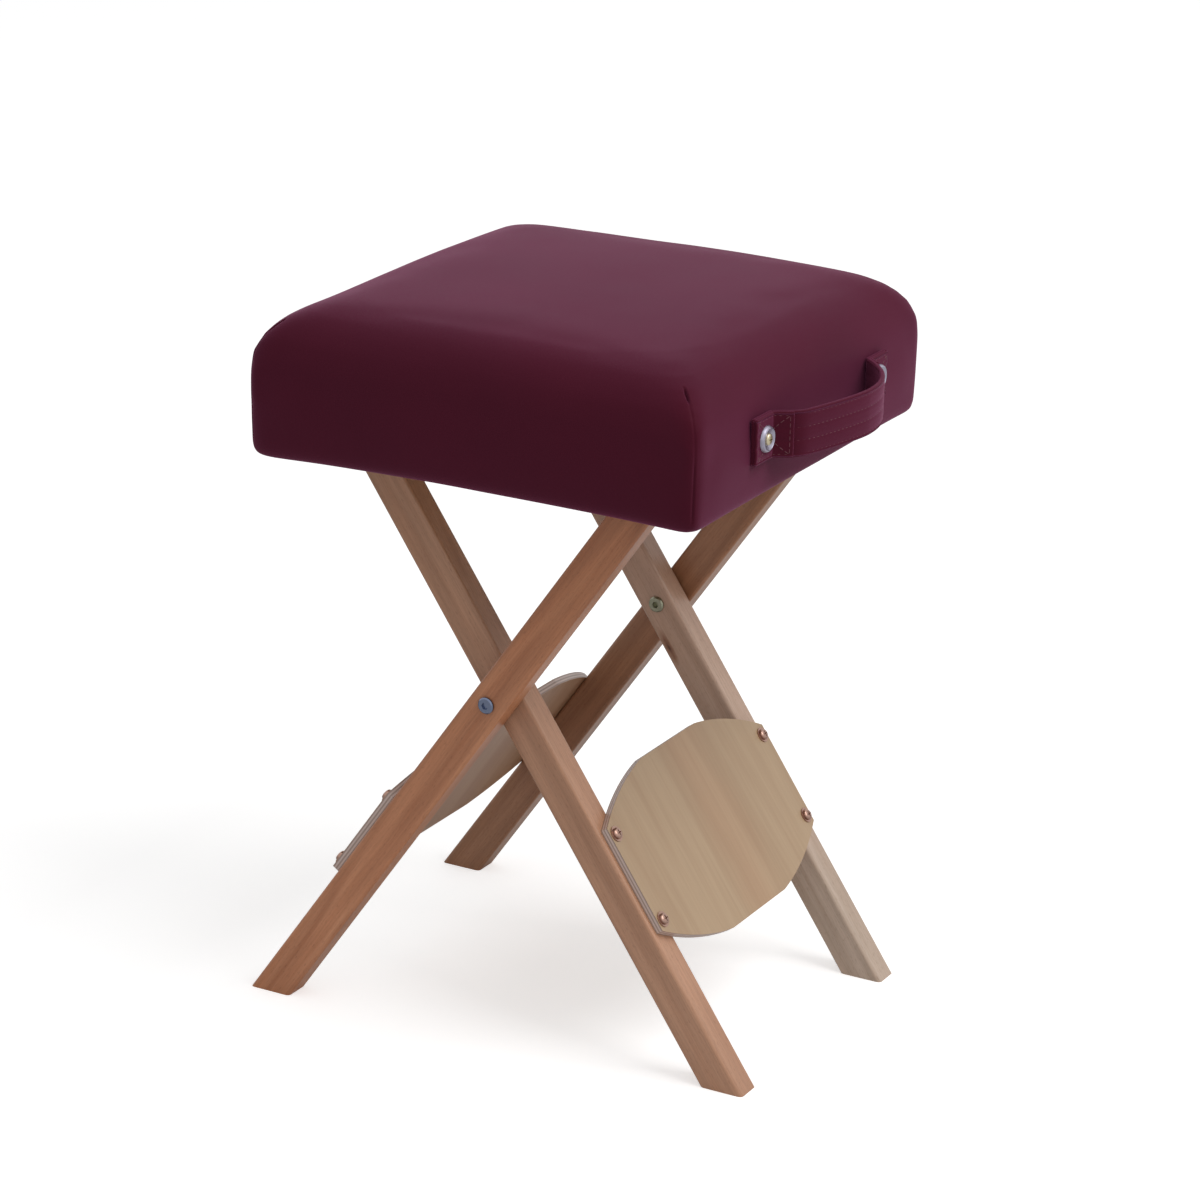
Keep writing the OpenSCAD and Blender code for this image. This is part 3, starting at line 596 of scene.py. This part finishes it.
def puff(piece, pressure, cap):
    """Swells a closed piece by cloth simulation, and lets no point move past cap."""
    ways = [v.normal.copy() for v in piece.data.vertices]
    for vertex, way in zip(piece.data.vertices, ways):
        vertex.co -= way * PUFF_START
    start = [v.co.copy() for v in piece.data.vertices]
    simulated(piece, pressure, [i for i, p in enumerate(start) if under_hem(p)])
    steps = [vertex.co - place for vertex, place in zip(piece.data.vertices, start)]
    moved = max(step.length for step in steps)
    steps = [step * min(1, cap / max(step.length, TINY)) for step in steps]
    for vertex, place, way, step in zip(piece.data.vertices, start, ways, evened(piece, steps, EVEN_ROUNDS)):
        inward = min(0, step.dot(way))
        vertex.co = place + step - way * (inward * (1 - PULL_IN))
    piece.vertex_groups.clear()
    return moved


reach = puff(seat, PUFF_PRESSURE, PUFF_CAP)
print("the cloth wanted to move", round(reach / MM, 1), "mm")

# %% [markdown]
# The foam doesn't fill the cover evenly. In the photograph the front corner of the stop end and the back
# edge stand out and up a little more than a plain box would. Each is made as a smooth bulge that dies away
# with distance, because that moves the points without adding an edge.

# %% Where the foam fills the cover most
CORNER_OUT = 0.0026
CORNER_UP = 0.0031
CORNER_R_FULL = 0.05
BACK_UP = 0.0022
BACK_R_FULL = 0.045
BACK_FROM, BACK_RUN = -0.04, 0.12


def eased(x):
    """A smooth step from 0 to 1."""
    x = min(1.0, max(0.0, x))
    return x * x * (3 - 2 * x)


def fading(distance, reach):
    """A smooth bulge: 1 at no distance, and almost nothing at twice the reach."""
    return math.exp(-(distance / reach) ** 2)


def filled(point):
    """How the foam moves a point: most at the front corner of the stop end and at the back edge."""
    away = point - seat_middle
    high = eased((point.z - seat_low.z) / (2 * half_seat.z)) ** 2
    full = fading(math.hypot(away.x + half_seat.x, away.y + half_seat.y), CORNER_R_FULL)
    back = fading(half_seat.y - away.y, BACK_R_FULL) * eased((away.x - BACK_FROM) / BACK_RUN)
    out = CORNER_OUT * full * math.sqrt(0.5)
    return Vector((-out, -out + BACK_UP * back * high / 2, (CORNER_UP * full + BACK_UP * back) * high))


print("up to", round(CORNER_UP / MM, 1), "mm fuller at a corner,", round(BACK_UP / MM, 1), "mm at the back")

# %% [markdown]
# The hem is pulled under by hand and stapled, so its lower line is never quite straight: it hangs a little
# lower at the stop end, and lowest beside each corner, where the fabric is folded twice. Cutting the form
# again would leave a hard line, so the points near the hem are only moved down, less the higher they are.

# %% A hand-stapled hem
HEM_SAG = 0.0012
HEM_FADE = 0.028
STOP_CORNER_SAG = 0.0018
STOP_SIDE_SAG = 0.0018
STOP_SIDE_RISE = 1.3
HANDLE_CORNER_SAG = 0.0010
SAG_R = 0.030
SAG_INSET = Vector((0.012, 0.004, 0))


def sag(point):
    """How far the hem hangs lower at a point: more at the stop end, and most beside the corners."""
    low = max(0.0, 1 - (point.z - seat_low.z) / HEM_FADE)
    reach = half_seat - SAG_INSET
    away = point - seat_middle
    stop_side = STOP_SIDE_SAG * eased(-away.x / half_seat.x * STOP_SIDE_RISE)
    to_corner = math.hypot(abs(away.x) - reach.x, abs(away.y) - reach.y)
    corner = HANDLE_CORNER_SAG if away.x > 0 else STOP_CORNER_SAG
    return (HEM_SAG + stop_side + corner * fading(to_corner, SAG_R)) * eased(low)


print("the hem hangs up to", round((HEM_SAG + STOP_SIDE_SAG + STOP_CORNER_SAG) / MM, 1), "mm lower")

# %% [markdown]
# The cells leave faint ridges round the crown, which a real stretched cover doesn't have. Plain smoothing
# would shrink the seat, so each round pulls the points in and then pushes them back out a little more. The
# faces then get a slow unevenness, because foam gives way differently from place to place.

# %% Iron the seat and shape it
UNEVEN = 0.0005
UNEVEN_SCALE = 14
IRON_ROUNDS = 12
IRON_PULL, IRON_PUSH = 0.5, 0.52


def ironed(piece, rounds):
    """Takes small ridges out of a piece and keeps its size."""
    for step in (IRON_PULL, -IRON_PUSH) * rounds:
        places = [vertex.co.copy() for vertex in piece.data.vertices]
        for vertex, place, near in zip(piece.data.vertices, places, evened(piece, places, 1)):
            vertex.co = place + (near - place) * 2 * step


ironed(seat, IRON_ROUNDS)
for vertex in seat.data.vertices:
    wave = noise.noise(vertex.co * UNEVEN_SCALE)
    vertex.co += vertex.normal * (wave * UNEVEN) + filled(vertex.co) - Vector((0, 0, sag(vertex.co)))
smoother = seat.modifiers.new("smoother", "SUBSURF")
smoother.levels = 1
smoother.render_levels = 1
applied(seat)
print("seat has", len(seat.data.polygons), "faces after one subdivision")

# %% [markdown]
# A real cover is sewn at its upright corners. Each seam runs from the hem up to the round of the top edge,
# where it ends in a small dark dart. Below the dart the stretch pulls the seam nearly shut, and it opens a
# little towards the hem. A dark line in the finish would not catch the light, so the seam is a real groove.

# %% The seam's groove
SEAM_TOP = seat_high.z - 0.0134
DART_LOW = seat_high.z - 0.0182
SEAM_SHUT = seat_high.z - 0.060
SEAM_FOOT = seat_low.z + 0.004
SEAM_HALF = 0.0007
SEAM_DEPTH = 0.0009
DART_DEPTH = 0.0016
SHUT_SHARE = 0.3
TOP_RUN, DART_RUN, SHUT_RUN, FOOT_RUN = 0.002, 0.003, 0.012, 0.008


def groove(z, side):
    """How deep the groove is at a height and at a distance sideways from the seam."""
    up = min(1, (SEAM_TOP - z) / TOP_RUN)
    down = min(1, (z - SEAM_FOOT) / FOOT_RUN)
    dart = min(1, max(0, (z - DART_LOW) / DART_RUN + 1))
    dart -= SHUT_SHARE * eased((z - SEAM_SHUT) / SHUT_RUN) * (1 - dart)
    return fading(side, SEAM_HALF) * (SEAM_DEPTH + DART_DEPTH * dart) * up * down


print("the dart is", round(groove((SEAM_TOP + DART_LOW) / 2, 0) / MM, 1), "mm deep")

# %% [markdown]
# The groove is much finer than the seat's cells. Finer cells all over would be slow, so only the faces near
# each seam are divided, first in a wide band and then in a narrow one, and their points are pressed in.

# %% Corner seams
CORNER_R = 0.007
SEAM_BANDS = (0.005, 0.003)
SEAM_REACH = 0.004
BEHIND_SEAM = -0.04
ABOVE_SEAM = 0.005
corner_in = Vector((CORNER_R, CORNER_R, 0)) * (1 - math.sqrt(0.5))


def corner_lines():
    """The four upright lines of the corner seams, as (x, y) and the outward direction."""
    for sx in (-1, 1):
        for sy in (-1, 1):
            out = Vector((sx, sy, 0)).normalized()
            x = seat_middle.x + sx * (half_seat.x - corner_in.x)
            y = seat_middle.y + sy * (half_seat.y - corner_in.y)
            yield Vector((x, y, 0)), out


def off_seam(point, line, out):
    """How far a point is sideways from the upright plane through a seam, and outwards along it."""
    away = Vector((point.x, point.y, 0)) - line
    along = away.dot(out)
    return (away - out * along).length, along


def near_seam(edge, width):
    """Whether the middle of an edge is within a band round one of the seams."""
    middle = (edge.verts[0].co + edge.verts[1].co) / 2
    if middle.z >= SEAM_TOP + ABOVE_SEAM:
        return False
    spots = (off_seam(middle, line, out) for line, out in corner_lines())
    return any(side < width and along > BEHIND_SEAM for side, along in spots)


def cut_seams(bm):
    """Refines the faces by each seam and presses the groove in."""
    for width in SEAM_BANDS:
        near = [edge for edge in bm.edges if near_seam(edge, width)]
        bmesh.ops.subdivide_edges(bm, edges=near, cuts=1, use_grid_fill=True)
    bmesh.ops.triangulate(bm, faces=[f for f in bm.faces if len(f.verts) > 4])
    bm.normal_update()
    for line, out in corner_lines():
        for vertex in bm.verts:
            side, along = off_seam(vertex.co, line, out)
            if side <= SEAM_REACH and along >= BEHIND_SEAM and SEAM_FOOT < vertex.co.z < SEAM_TOP:
                vertex.co -= vertex.normal * groove(vertex.co.z, side)


bm = bmesh.new()
bm.from_mesh(seat.data)
cut_seams(bm)
bm.to_mesh(seat.data)
bm.free()
print("seat has", len(seat.data.polygons), "faces with its seams")

# %% [markdown]
# The cushion is solid inside, so the wooden frame needs room. A hollow shell with a folded hem would be hard
# to keep closed, so a cutter in the form of the frame, with the hem's opening below it, is taken out of the
# closed form instead, which leaves the hem folded under the rails.

# %% Room for the wooden frame
HEM_W = 0.010
ROOM = 0.0003
ROOM_R, ROOM_STEPS = 0.004, 4
BELOW, OVERLAP = 0.02, 0.01


def slab(bm, low, high):
    """A box between two corners, added to bm."""
    made = bmesh.ops.create_cube(bm, size=1)["verts"]
    bmesh.ops.scale(bm, vec=high - low, verts=made)
    bmesh.ops.translate(bm, vec=(low + high) / 2, verts=made)


def frame_room(low, high):
    """The wooden frame with room round it and rounded upright edges."""
    bm = bmesh.new()
    pad = Vector((ROOM, ROOM, ROOM))
    slab(bm, low - pad, high + pad)
    upright = [e for e in bm.edges if abs((e.verts[0].co - e.verts[1].co).z) > ROOM_R]
    bmesh.ops.bevel(bm, geom=upright, offset=ROOM_R, segments=ROOM_STEPS, affect="EDGES", profile=0.5,
                    material=-1)
    return new_piece("frame_room", bm, smooth=False)


def hem_room(low, high):
    """The opening inside the hem, which reaches up into the frame's room."""
    bm = bmesh.new()
    hem = Vector((HEM_W, HEM_W, 0))
    slab(bm, Vector((low.x, low.y, low.z - BELOW)) + hem, Vector((high.x, high.y, low.z + OVERLAP)) - hem)
    return new_piece("hem_room", bm, smooth=False)


frame_low, frame_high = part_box("side_rail_front")
frame_high.y, frame_high.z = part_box("side_rail_back")[1].y, board_high.z
for cutter in (frame_room(frame_low, frame_high), hem_room(frame_low, frame_high)):
    room = seat.modifiers.new("room", "BOOLEAN")
    room.operation = "DIFFERENCE"
    room.solver = "EXACT"
    room.object = cutter
    applied(seat)
    bpy.data.objects.remove(cutter)
for face in seat.data.polygons:
    face.use_smooth = True
print("seat cushion has", len(seat.data.polygons), "faces")

# %% [markdown]
# The cover is burgundy coated fabric, a soft vinyl with a fine pressed grain. Seen flat on it is dark and
# wine-red. At a shallow angle it turns lighter and pinkish. More gloss would turn it grey instead, so the
# shader's sheen does it: it stands for the soft light that the pressed grain scatters.

# %% Burgundy vinyl
WINE = (0.058, 0.0057, 0.0132)
SHEEN = 0.25
SHEEN_TINT = (1.0, 0.30, 0.63, 1)


def vinyl(name, colour, grain=1.0):
    """Satin coated fabric with a fine leather grain."""
    made, shader = finish(name, Specular_IOR_Level=0.02, Sheen_Weight=SHEEN, Sheen_Roughness=0.55,
                          Sheen_Tint=SHEEN_TINT)
    space = placed(made)
    cloud = speckle(made, space, 14, 3)
    cells = node(made, "TexVoronoi", {"feature": "DISTANCE_TO_EDGE"}, Vector=space, Scale=900)
    edges = ramp(made, cells.outputs["Distance"], (0.0, BLACK), (0.12, WHITE))
    tone = mixed(made, cloud, [c * 0.86 for c in colour], [c * 1.16 for c in colour])
    join(made, tone, shader, "Base Color")
    join(made, node(made, "MapRange", Value=cloud, To_Min=0.42, To_Max=0.5).outputs[0], shader, "Roughness")
    bump(made, shader, mixed(made, 0.3, edges, speckle(made, space, 2600, 2)), 0.18 * grain, 0.0002)
    return made


seat.data.materials.clear()
seat.data.materials.append(vinyl("burgundy_vinyl", WINE))
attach(seat, "seat")
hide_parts("seat_cover", "seat_foam", "edge_foam")
print("seat covered in", seat.data.materials[0].name)

# %% [markdown]
# The handle is a doubled strap of the same vinyl. It lies flat under each screw, lifts quickly beside the
# near one, rises slowly to its furthest point and falls back to the far end. A hanging strap could be
# simulated, but this one is stiff and keeps its curve, so the curve is a formula with a few real sizes.

# %% The strap's line
STRAP_T = 0.003
STRAP_BULGE = 0.031
STRAP_FALL = 0.065
NEAR_SCREW = -0.079
FAR_SCREW = 0.081
SCREW_FLAT = 0.0095
RISE_POWER = 1.4
FALL_POWER = 2.4
SOFT_START = 0.04
LIFT_SHARE = 0.4
LIFT_END = 0.106
SLOPE_STEPS, FLAT_STEPS = 90, 12
strap_low, strap_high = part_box("handle_strap")
strap_back = strap_low.x + STRAP_T / 2
strap_z = (strap_low.z + strap_high.z) / 2
rise_start = NEAR_SCREW + SCREW_FLAT
land_y = FAR_SCREW - SCREW_FLAT
peak_y = land_y - STRAP_FALL


def slope(w, power):
    """A round slope from 0 where w is 0 to 1 where w is 1."""
    return (1 - (1 - w) ** power) * (1 - math.exp(-w / SOFT_START))


def rise(u):
    """How far the strap's middle stands out on its rising part, and its place along Y."""
    lift = 1 - fading(u, LIFT_END)
    out = STRAP_BULGE * (LIFT_SHARE * lift + (1 - LIFT_SHARE) * slope(u, RISE_POWER))
    return out, rise_start + (peak_y - rise_start) * u


def fall(w):
    """The same on the part that falls back, from 0 at the far end's flat to 1 at the furthest point."""
    return STRAP_BULGE * slope(w, FALL_POWER), land_y + (peak_y - land_y) * w


def strap_line():
    """Points of the strap's middle line, from the near end to the far end."""
    near_step = (rise_start - strap_low.y) / FLAT_STEPS
    far_step = (strap_high.y - land_y) / FLAT_STEPS
    flat = [(0, strap_low.y + near_step * k) for k in range(FLAT_STEPS)]
    rising = [rise(k / SLOPE_STEPS) for k in range(SLOPE_STEPS + 1)]
    falling = [fall(k / SLOPE_STEPS) for k in range(SLOPE_STEPS - 1, -1, -1)]
    landed = [(0, land_y + far_step * k) for k in range(1, FLAT_STEPS + 1)]
    return [Vector((strap_back + out, y, strap_z)) for out, y in flat + rising + falling + landed]


STRAP_LINE = strap_line()
print("strap stands", round(max(p.x for p in STRAP_LINE) / MM), "mm from the middle of the stool")

# %% [markdown]
# The strap, its folded ends and its stitches all follow the same line, so they need to know where a distance
# along the strap lies. The lengths of the line's pieces are added up once, and each place is found between
# two of them. The outward direction is taken over a few millimetres, so that the folds don't cross.

# %% Places along the strap
FOLD_LEN = 0.031
LOOK = 0.0028
STRAP_STEPS = [0.0]
for a, b in zip(STRAP_LINE, STRAP_LINE[1:]):
    STRAP_STEPS.append(STRAP_STEPS[-1] + (b - a).length)
STRAP_LENGTH = STRAP_STEPS[-1]
NEAR_FOLD = next(s for s, p in zip(STRAP_STEPS, STRAP_LINE) if p.y > strap_low.y + FOLD_LEN)
FAR_FOLD = next(s for s, p in zip(STRAP_STEPS, STRAP_LINE) if p.y > strap_high.y - FOLD_LEN)


def strap_point(s):
    """The point of the middle line at distance s along the strap."""
    s = min(max(s, 0.0), STRAP_LENGTH)
    k = next(i for i in range(1, len(STRAP_STEPS)) if STRAP_STEPS[i] >= s - TINY)
    share = (s - STRAP_STEPS[k - 1]) / (STRAP_STEPS[k] - STRAP_STEPS[k - 1])
    return STRAP_LINE[k - 1].lerp(STRAP_LINE[k], share)


def on_strap(s):
    """The same point with the outward direction."""
    ahead = strap_point(s + LOOK) - strap_point(s - LOOK)
    return strap_point(s), Vector((ahead.y, -ahead.x, 0)).normalized()


print("strap is", round(STRAP_LENGTH / MM), "mm long, with folds to", round(NEAR_FOLD / MM), "and from",
      round(FAR_FOLD / MM), "mm")

# %% [markdown]
# Rows of stitching pull the doubled vinyl in, so it stands up in soft ribs between them. A flat grid has
# just the right layout for it: its length is bent along the strap's line, its width carries the ribs,
# solidify gives it thickness, and a small bevel rounds its rims. Each folded end is one more such band.

# %% The strap itself
FOLD_T = 0.0016
STRAP_W = strap_high.z - strap_low.z
ROWS = (-0.0124, -0.0042, 0.0042, 0.0124)
RIB = 0.0005
RIB_RUN = 0.0022
RIM_R, RIM_SHARE, RIM_ANGLE = 0.001, 0.4, 1.0
CUTS_ACROSS, STRAP_CUTS, FOLD_CUTS = 30, 170, 36
STRAP_TRIM, FOLD_TRIM = 0.0004, 0.0006


def rib(w):
    """How far the strap is pulled in at a distance w from its middle: most at each seam."""
    nearest = min(abs(w - row) for row in ROWS)
    return RIB * min(1, nearest / RIB_RUN) ** 0.5 - RIB


def band(start, end, inner, outer, cuts, width):
    """A ribbed band along the strap between two distances, from inner to outer beside its middle line."""
    bm = bmesh.new()
    made = bmesh.ops.create_grid(bm, x_segments=cuts, y_segments=CUTS_ACROSS, size=0.5)["verts"]
    for vertex in made:
        s, w = start + (vertex.co.x + 0.5) * (end - start), vertex.co.y * width
        point, out = on_strap(s)
        vertex.co = point + out * (outer + rib(w)) + Vector((0, 0, w))
    bmesh.ops.recalc_face_normals(bm, faces=bm.faces)
    if sum(f.normal.x for f in bm.faces) < 0:
        bmesh.ops.reverse_faces(bm, faces=bm.faces)
    skin, border = set(bm.faces), [e for e in bm.edges if e.is_boundary]
    bmesh.ops.solidify(bm, geom=bm.faces, thickness=outer - inner)
    bmesh.ops.recalc_face_normals(bm, faces=bm.faces)
    sides = {f for e in border for f in e.link_faces if f not in skin}
    sharp = [e for e in bm.edges if e.calc_face_angle(0) > RIM_ANGLE]
    rims = [e for e in sharp if any(f in sides for f in e.link_faces)]
    round_r = min(RIM_R, (outer - inner) * RIM_SHARE)
    bmesh.ops.bevel(bm, geom=rims, offset=round_r, segments=3, affect="EDGES", profile=0.5, material=-1)
    return bm


def strap_skin():
    """The strap with the folded layers on its two ends."""
    half = STRAP_T / 2
    whole = band(0, STRAP_LENGTH, -half, half, STRAP_CUTS, STRAP_W - STRAP_TRIM)
    for start, end in ((0, NEAR_FOLD), (FAR_FOLD, STRAP_LENGTH)):
        layer = band(start, end, half - RIB * 2, half + FOLD_T, FOLD_CUTS, STRAP_W - FOLD_TRIM)
        mesh = bpy.data.meshes.new("fold")
        layer.to_mesh(mesh)
        layer.free()
        whole.from_mesh(mesh)
        bpy.data.meshes.remove(mesh)
    return whole


strap = new_piece("strap_handle", strap_skin())
strap.data.materials.append(vinyl("strap_vinyl", [c * 1.08 for c in WINE], grain=1.3))
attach(strap, "seat")
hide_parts("handle_strap")
print("strap has", len(strap.data.polygons), "faces")

# %% [markdown]
# Stitches are small bars of thread that dive in and out of the cloth. Bump alone would not stand out at the
# strap's edge, so each stitch is a stretched ball half sunk in the vinyl, and copies of it follow each row.

# %% One row of stitches
STITCH = 0.0030
STITCH_GAP = 0.0008
STITCH_DIVE = 0.12
THREAD_R = 0.00028


def add_stitch(bm, middle, ahead, out, length):
    """One stitch: a small ball stretched along ahead and half sunk in the surface."""
    side = out.cross(ahead).normalized()
    turn = Matrix((ahead, side, out)).transposed().to_4x4()
    size = Matrix.Diagonal((length / 2, THREAD_R, THREAD_R, 1))
    bmesh.ops.create_uvsphere(bm, u_segments=8, v_segments=6, radius=1,
                              matrix=Matrix.Translation(middle) @ turn @ size)


def strap_spot(s, w):
    """A point on the strap's outside, and the outward direction. The folded ends are thicker."""
    point, out = on_strap(s)
    fold = FOLD_T if s < NEAR_FOLD or s > FAR_FOLD else 0
    return point + out * (STRAP_T / 2 + fold + rib(w)) + Vector((0, 0, w)), out


def stitch_path(bm, start, end):
    """A straight row of stitches between two (along, across) places of the strap."""
    start, end = Vector(start), Vector(end)
    count = max(1, int((end - start).length / (STITCH + STITCH_GAP)))
    for k in range(count):
        a = start.lerp(end, (k + STITCH_DIVE) / count)
        b = start.lerp(end, (k + 1 - STITCH_DIVE) / count)
        (pa, out), (pb, _) = strap_spot(*a), strap_spot(*b)
        add_stitch(bm, (pa + pb) / 2, (pb - pa).normalized(), out, (pb - pa).length)


# %% [markdown]
# Four rows run along the strap. Each folded end is sewn down with a square and a cross, which is how a maker
# fixes a strap that is pulled on. All the stitches are one piece, because they are one thread on one strap.

# %% Stitching on the strap
BOX_EDGE = 0.0025
ROW_GAP = 0.001
THREAD_DARK = (0.075, 0.010, 0.018)
THREAD_PALE = (0.15, 0.028, 0.045)
near_box = (BOX_EDGE, NEAR_FOLD - BOX_EDGE)
far_box = (FAR_FOLD + BOX_EDGE, STRAP_LENGTH - BOX_EDGE)
bm = bmesh.new()
for row in ROWS:
    stitch_path(bm, (NEAR_FOLD + ROW_GAP, row), (FAR_FOLD - ROW_GAP, row))
for low, high in (near_box, far_box):
    for w in (ROWS[0], ROWS[-1]):
        stitch_path(bm, (low, w), (high, w))
        stitch_path(bm, (low, -w), (high, w))
    for s in (low, high):
        stitch_path(bm, (s, ROWS[0]), (s, ROWS[-1]))
stitches = new_piece("strap_stitches", bm)
thread, thread_shader = finish("burgundy_thread", Roughness=0.6, Sheen_Weight=0.2)
twist = speckle(thread, placed(thread), 3000, 1)
join(thread, mixed(thread, twist, THREAD_DARK, THREAD_PALE), thread_shader, "Base Color")
stitches.data.materials.append(thread)
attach(stitches, "seat")
print("stitches have", len(stitches.data.polygons), "faces")

# %% [markdown]
# The stage is a plain pale floor. A photographer would light it until it is white, but that light would also
# fall on the stool. So the floor adds a little light of its own to what the camera sees, which brings it out
# white and still keeps the stool's soft shadow.

# %% Floor
FLOOR_SIZE = 12
FLOOR_LIFT = 0.55
bm = bmesh.new()
bmesh.ops.create_grid(bm, x_segments=1, y_segments=1, size=FLOOR_SIZE)
floor = new_piece("floor", bm, smooth=False)
pale, floor_shader = finish("pale_floor", Base_Color=(0.8, 0.8, 0.8, 1), Roughness=0.9,
                            Specular_IOR_Level=0.0, Emission_Color=(1, 1, 1, 1))
lift = maths(pale, "MULTIPLY", node(pale, "LightPath").outputs["Is Camera Ray"], FLOOR_LIFT)
join(pale, lift, floor_shader, "Emission Strength")
floor.data.materials.append(pale)
print("floor is", 2 * FLOOR_SIZE, "m wide")

# %% [markdown]
# The world is a white studio all round. It is white to the camera and to reflections, so that the metal has
# something bright to show, but it is dimmer as a lamp, so that colours render about as they are written.

# %% World
WORLD_LIGHT, WORLD_SEEN = 0.5, 1.0
world = bpy.data.worlds.new("studio")
bpy.context.scene.world = world
world.use_nodes = True
background = world.node_tree.nodes["Background"]
background.inputs["Color"].default_value = (1, 1, 1, 1)
ray = node(world, "LightPath").outputs
seen = maths(world, "MAXIMUM", ray["Is Camera Ray"], ray["Is Glossy Ray"])
seen = maths(world, "MAXIMUM", seen, ray["Is Transmission Ray"])
level = node(world, "MapRange", Value=seen, To_Min=WORLD_LIGHT, To_Max=WORLD_SEEN).outputs[0]
join(world, level, background, "Strength")
print("the world lights at", WORLD_LIGHT, "and is seen at", WORLD_SEEN)

# %% [markdown]
# One soft box stands high on the handle's side. In the photograph the seat's top and its handle end are
# light and its long front is dark, and one large lamp on that side gives just that. A second lamp from the
# front would flatten the crossed legs.

# %% Lamp
STOOL_MIDDLE = (0, 0, 0.3)
KEY_PLACE = (1.9, 0.0, 2.6)
KEY_SIZE = 2.0
KEY_WATTS = 46
key = bpy.data.objects.new("key", bpy.data.lights.new("key", "AREA"))
key.data.size = KEY_SIZE
key.data.energy = KEY_WATTS
key.location = KEY_PLACE
key.rotation_euler = (Vector(STOOL_MIDDLE) - Vector(KEY_PLACE)).to_track_quat("-Z", "Y").to_euler()
bpy.context.collection.objects.link(key)
bpy.context.scene.view_settings.view_transform = "Standard"
print("the lamp is", round((Vector(KEY_PLACE) - Vector(STOOL_MIDDLE)).length, 1), "m from the stool")
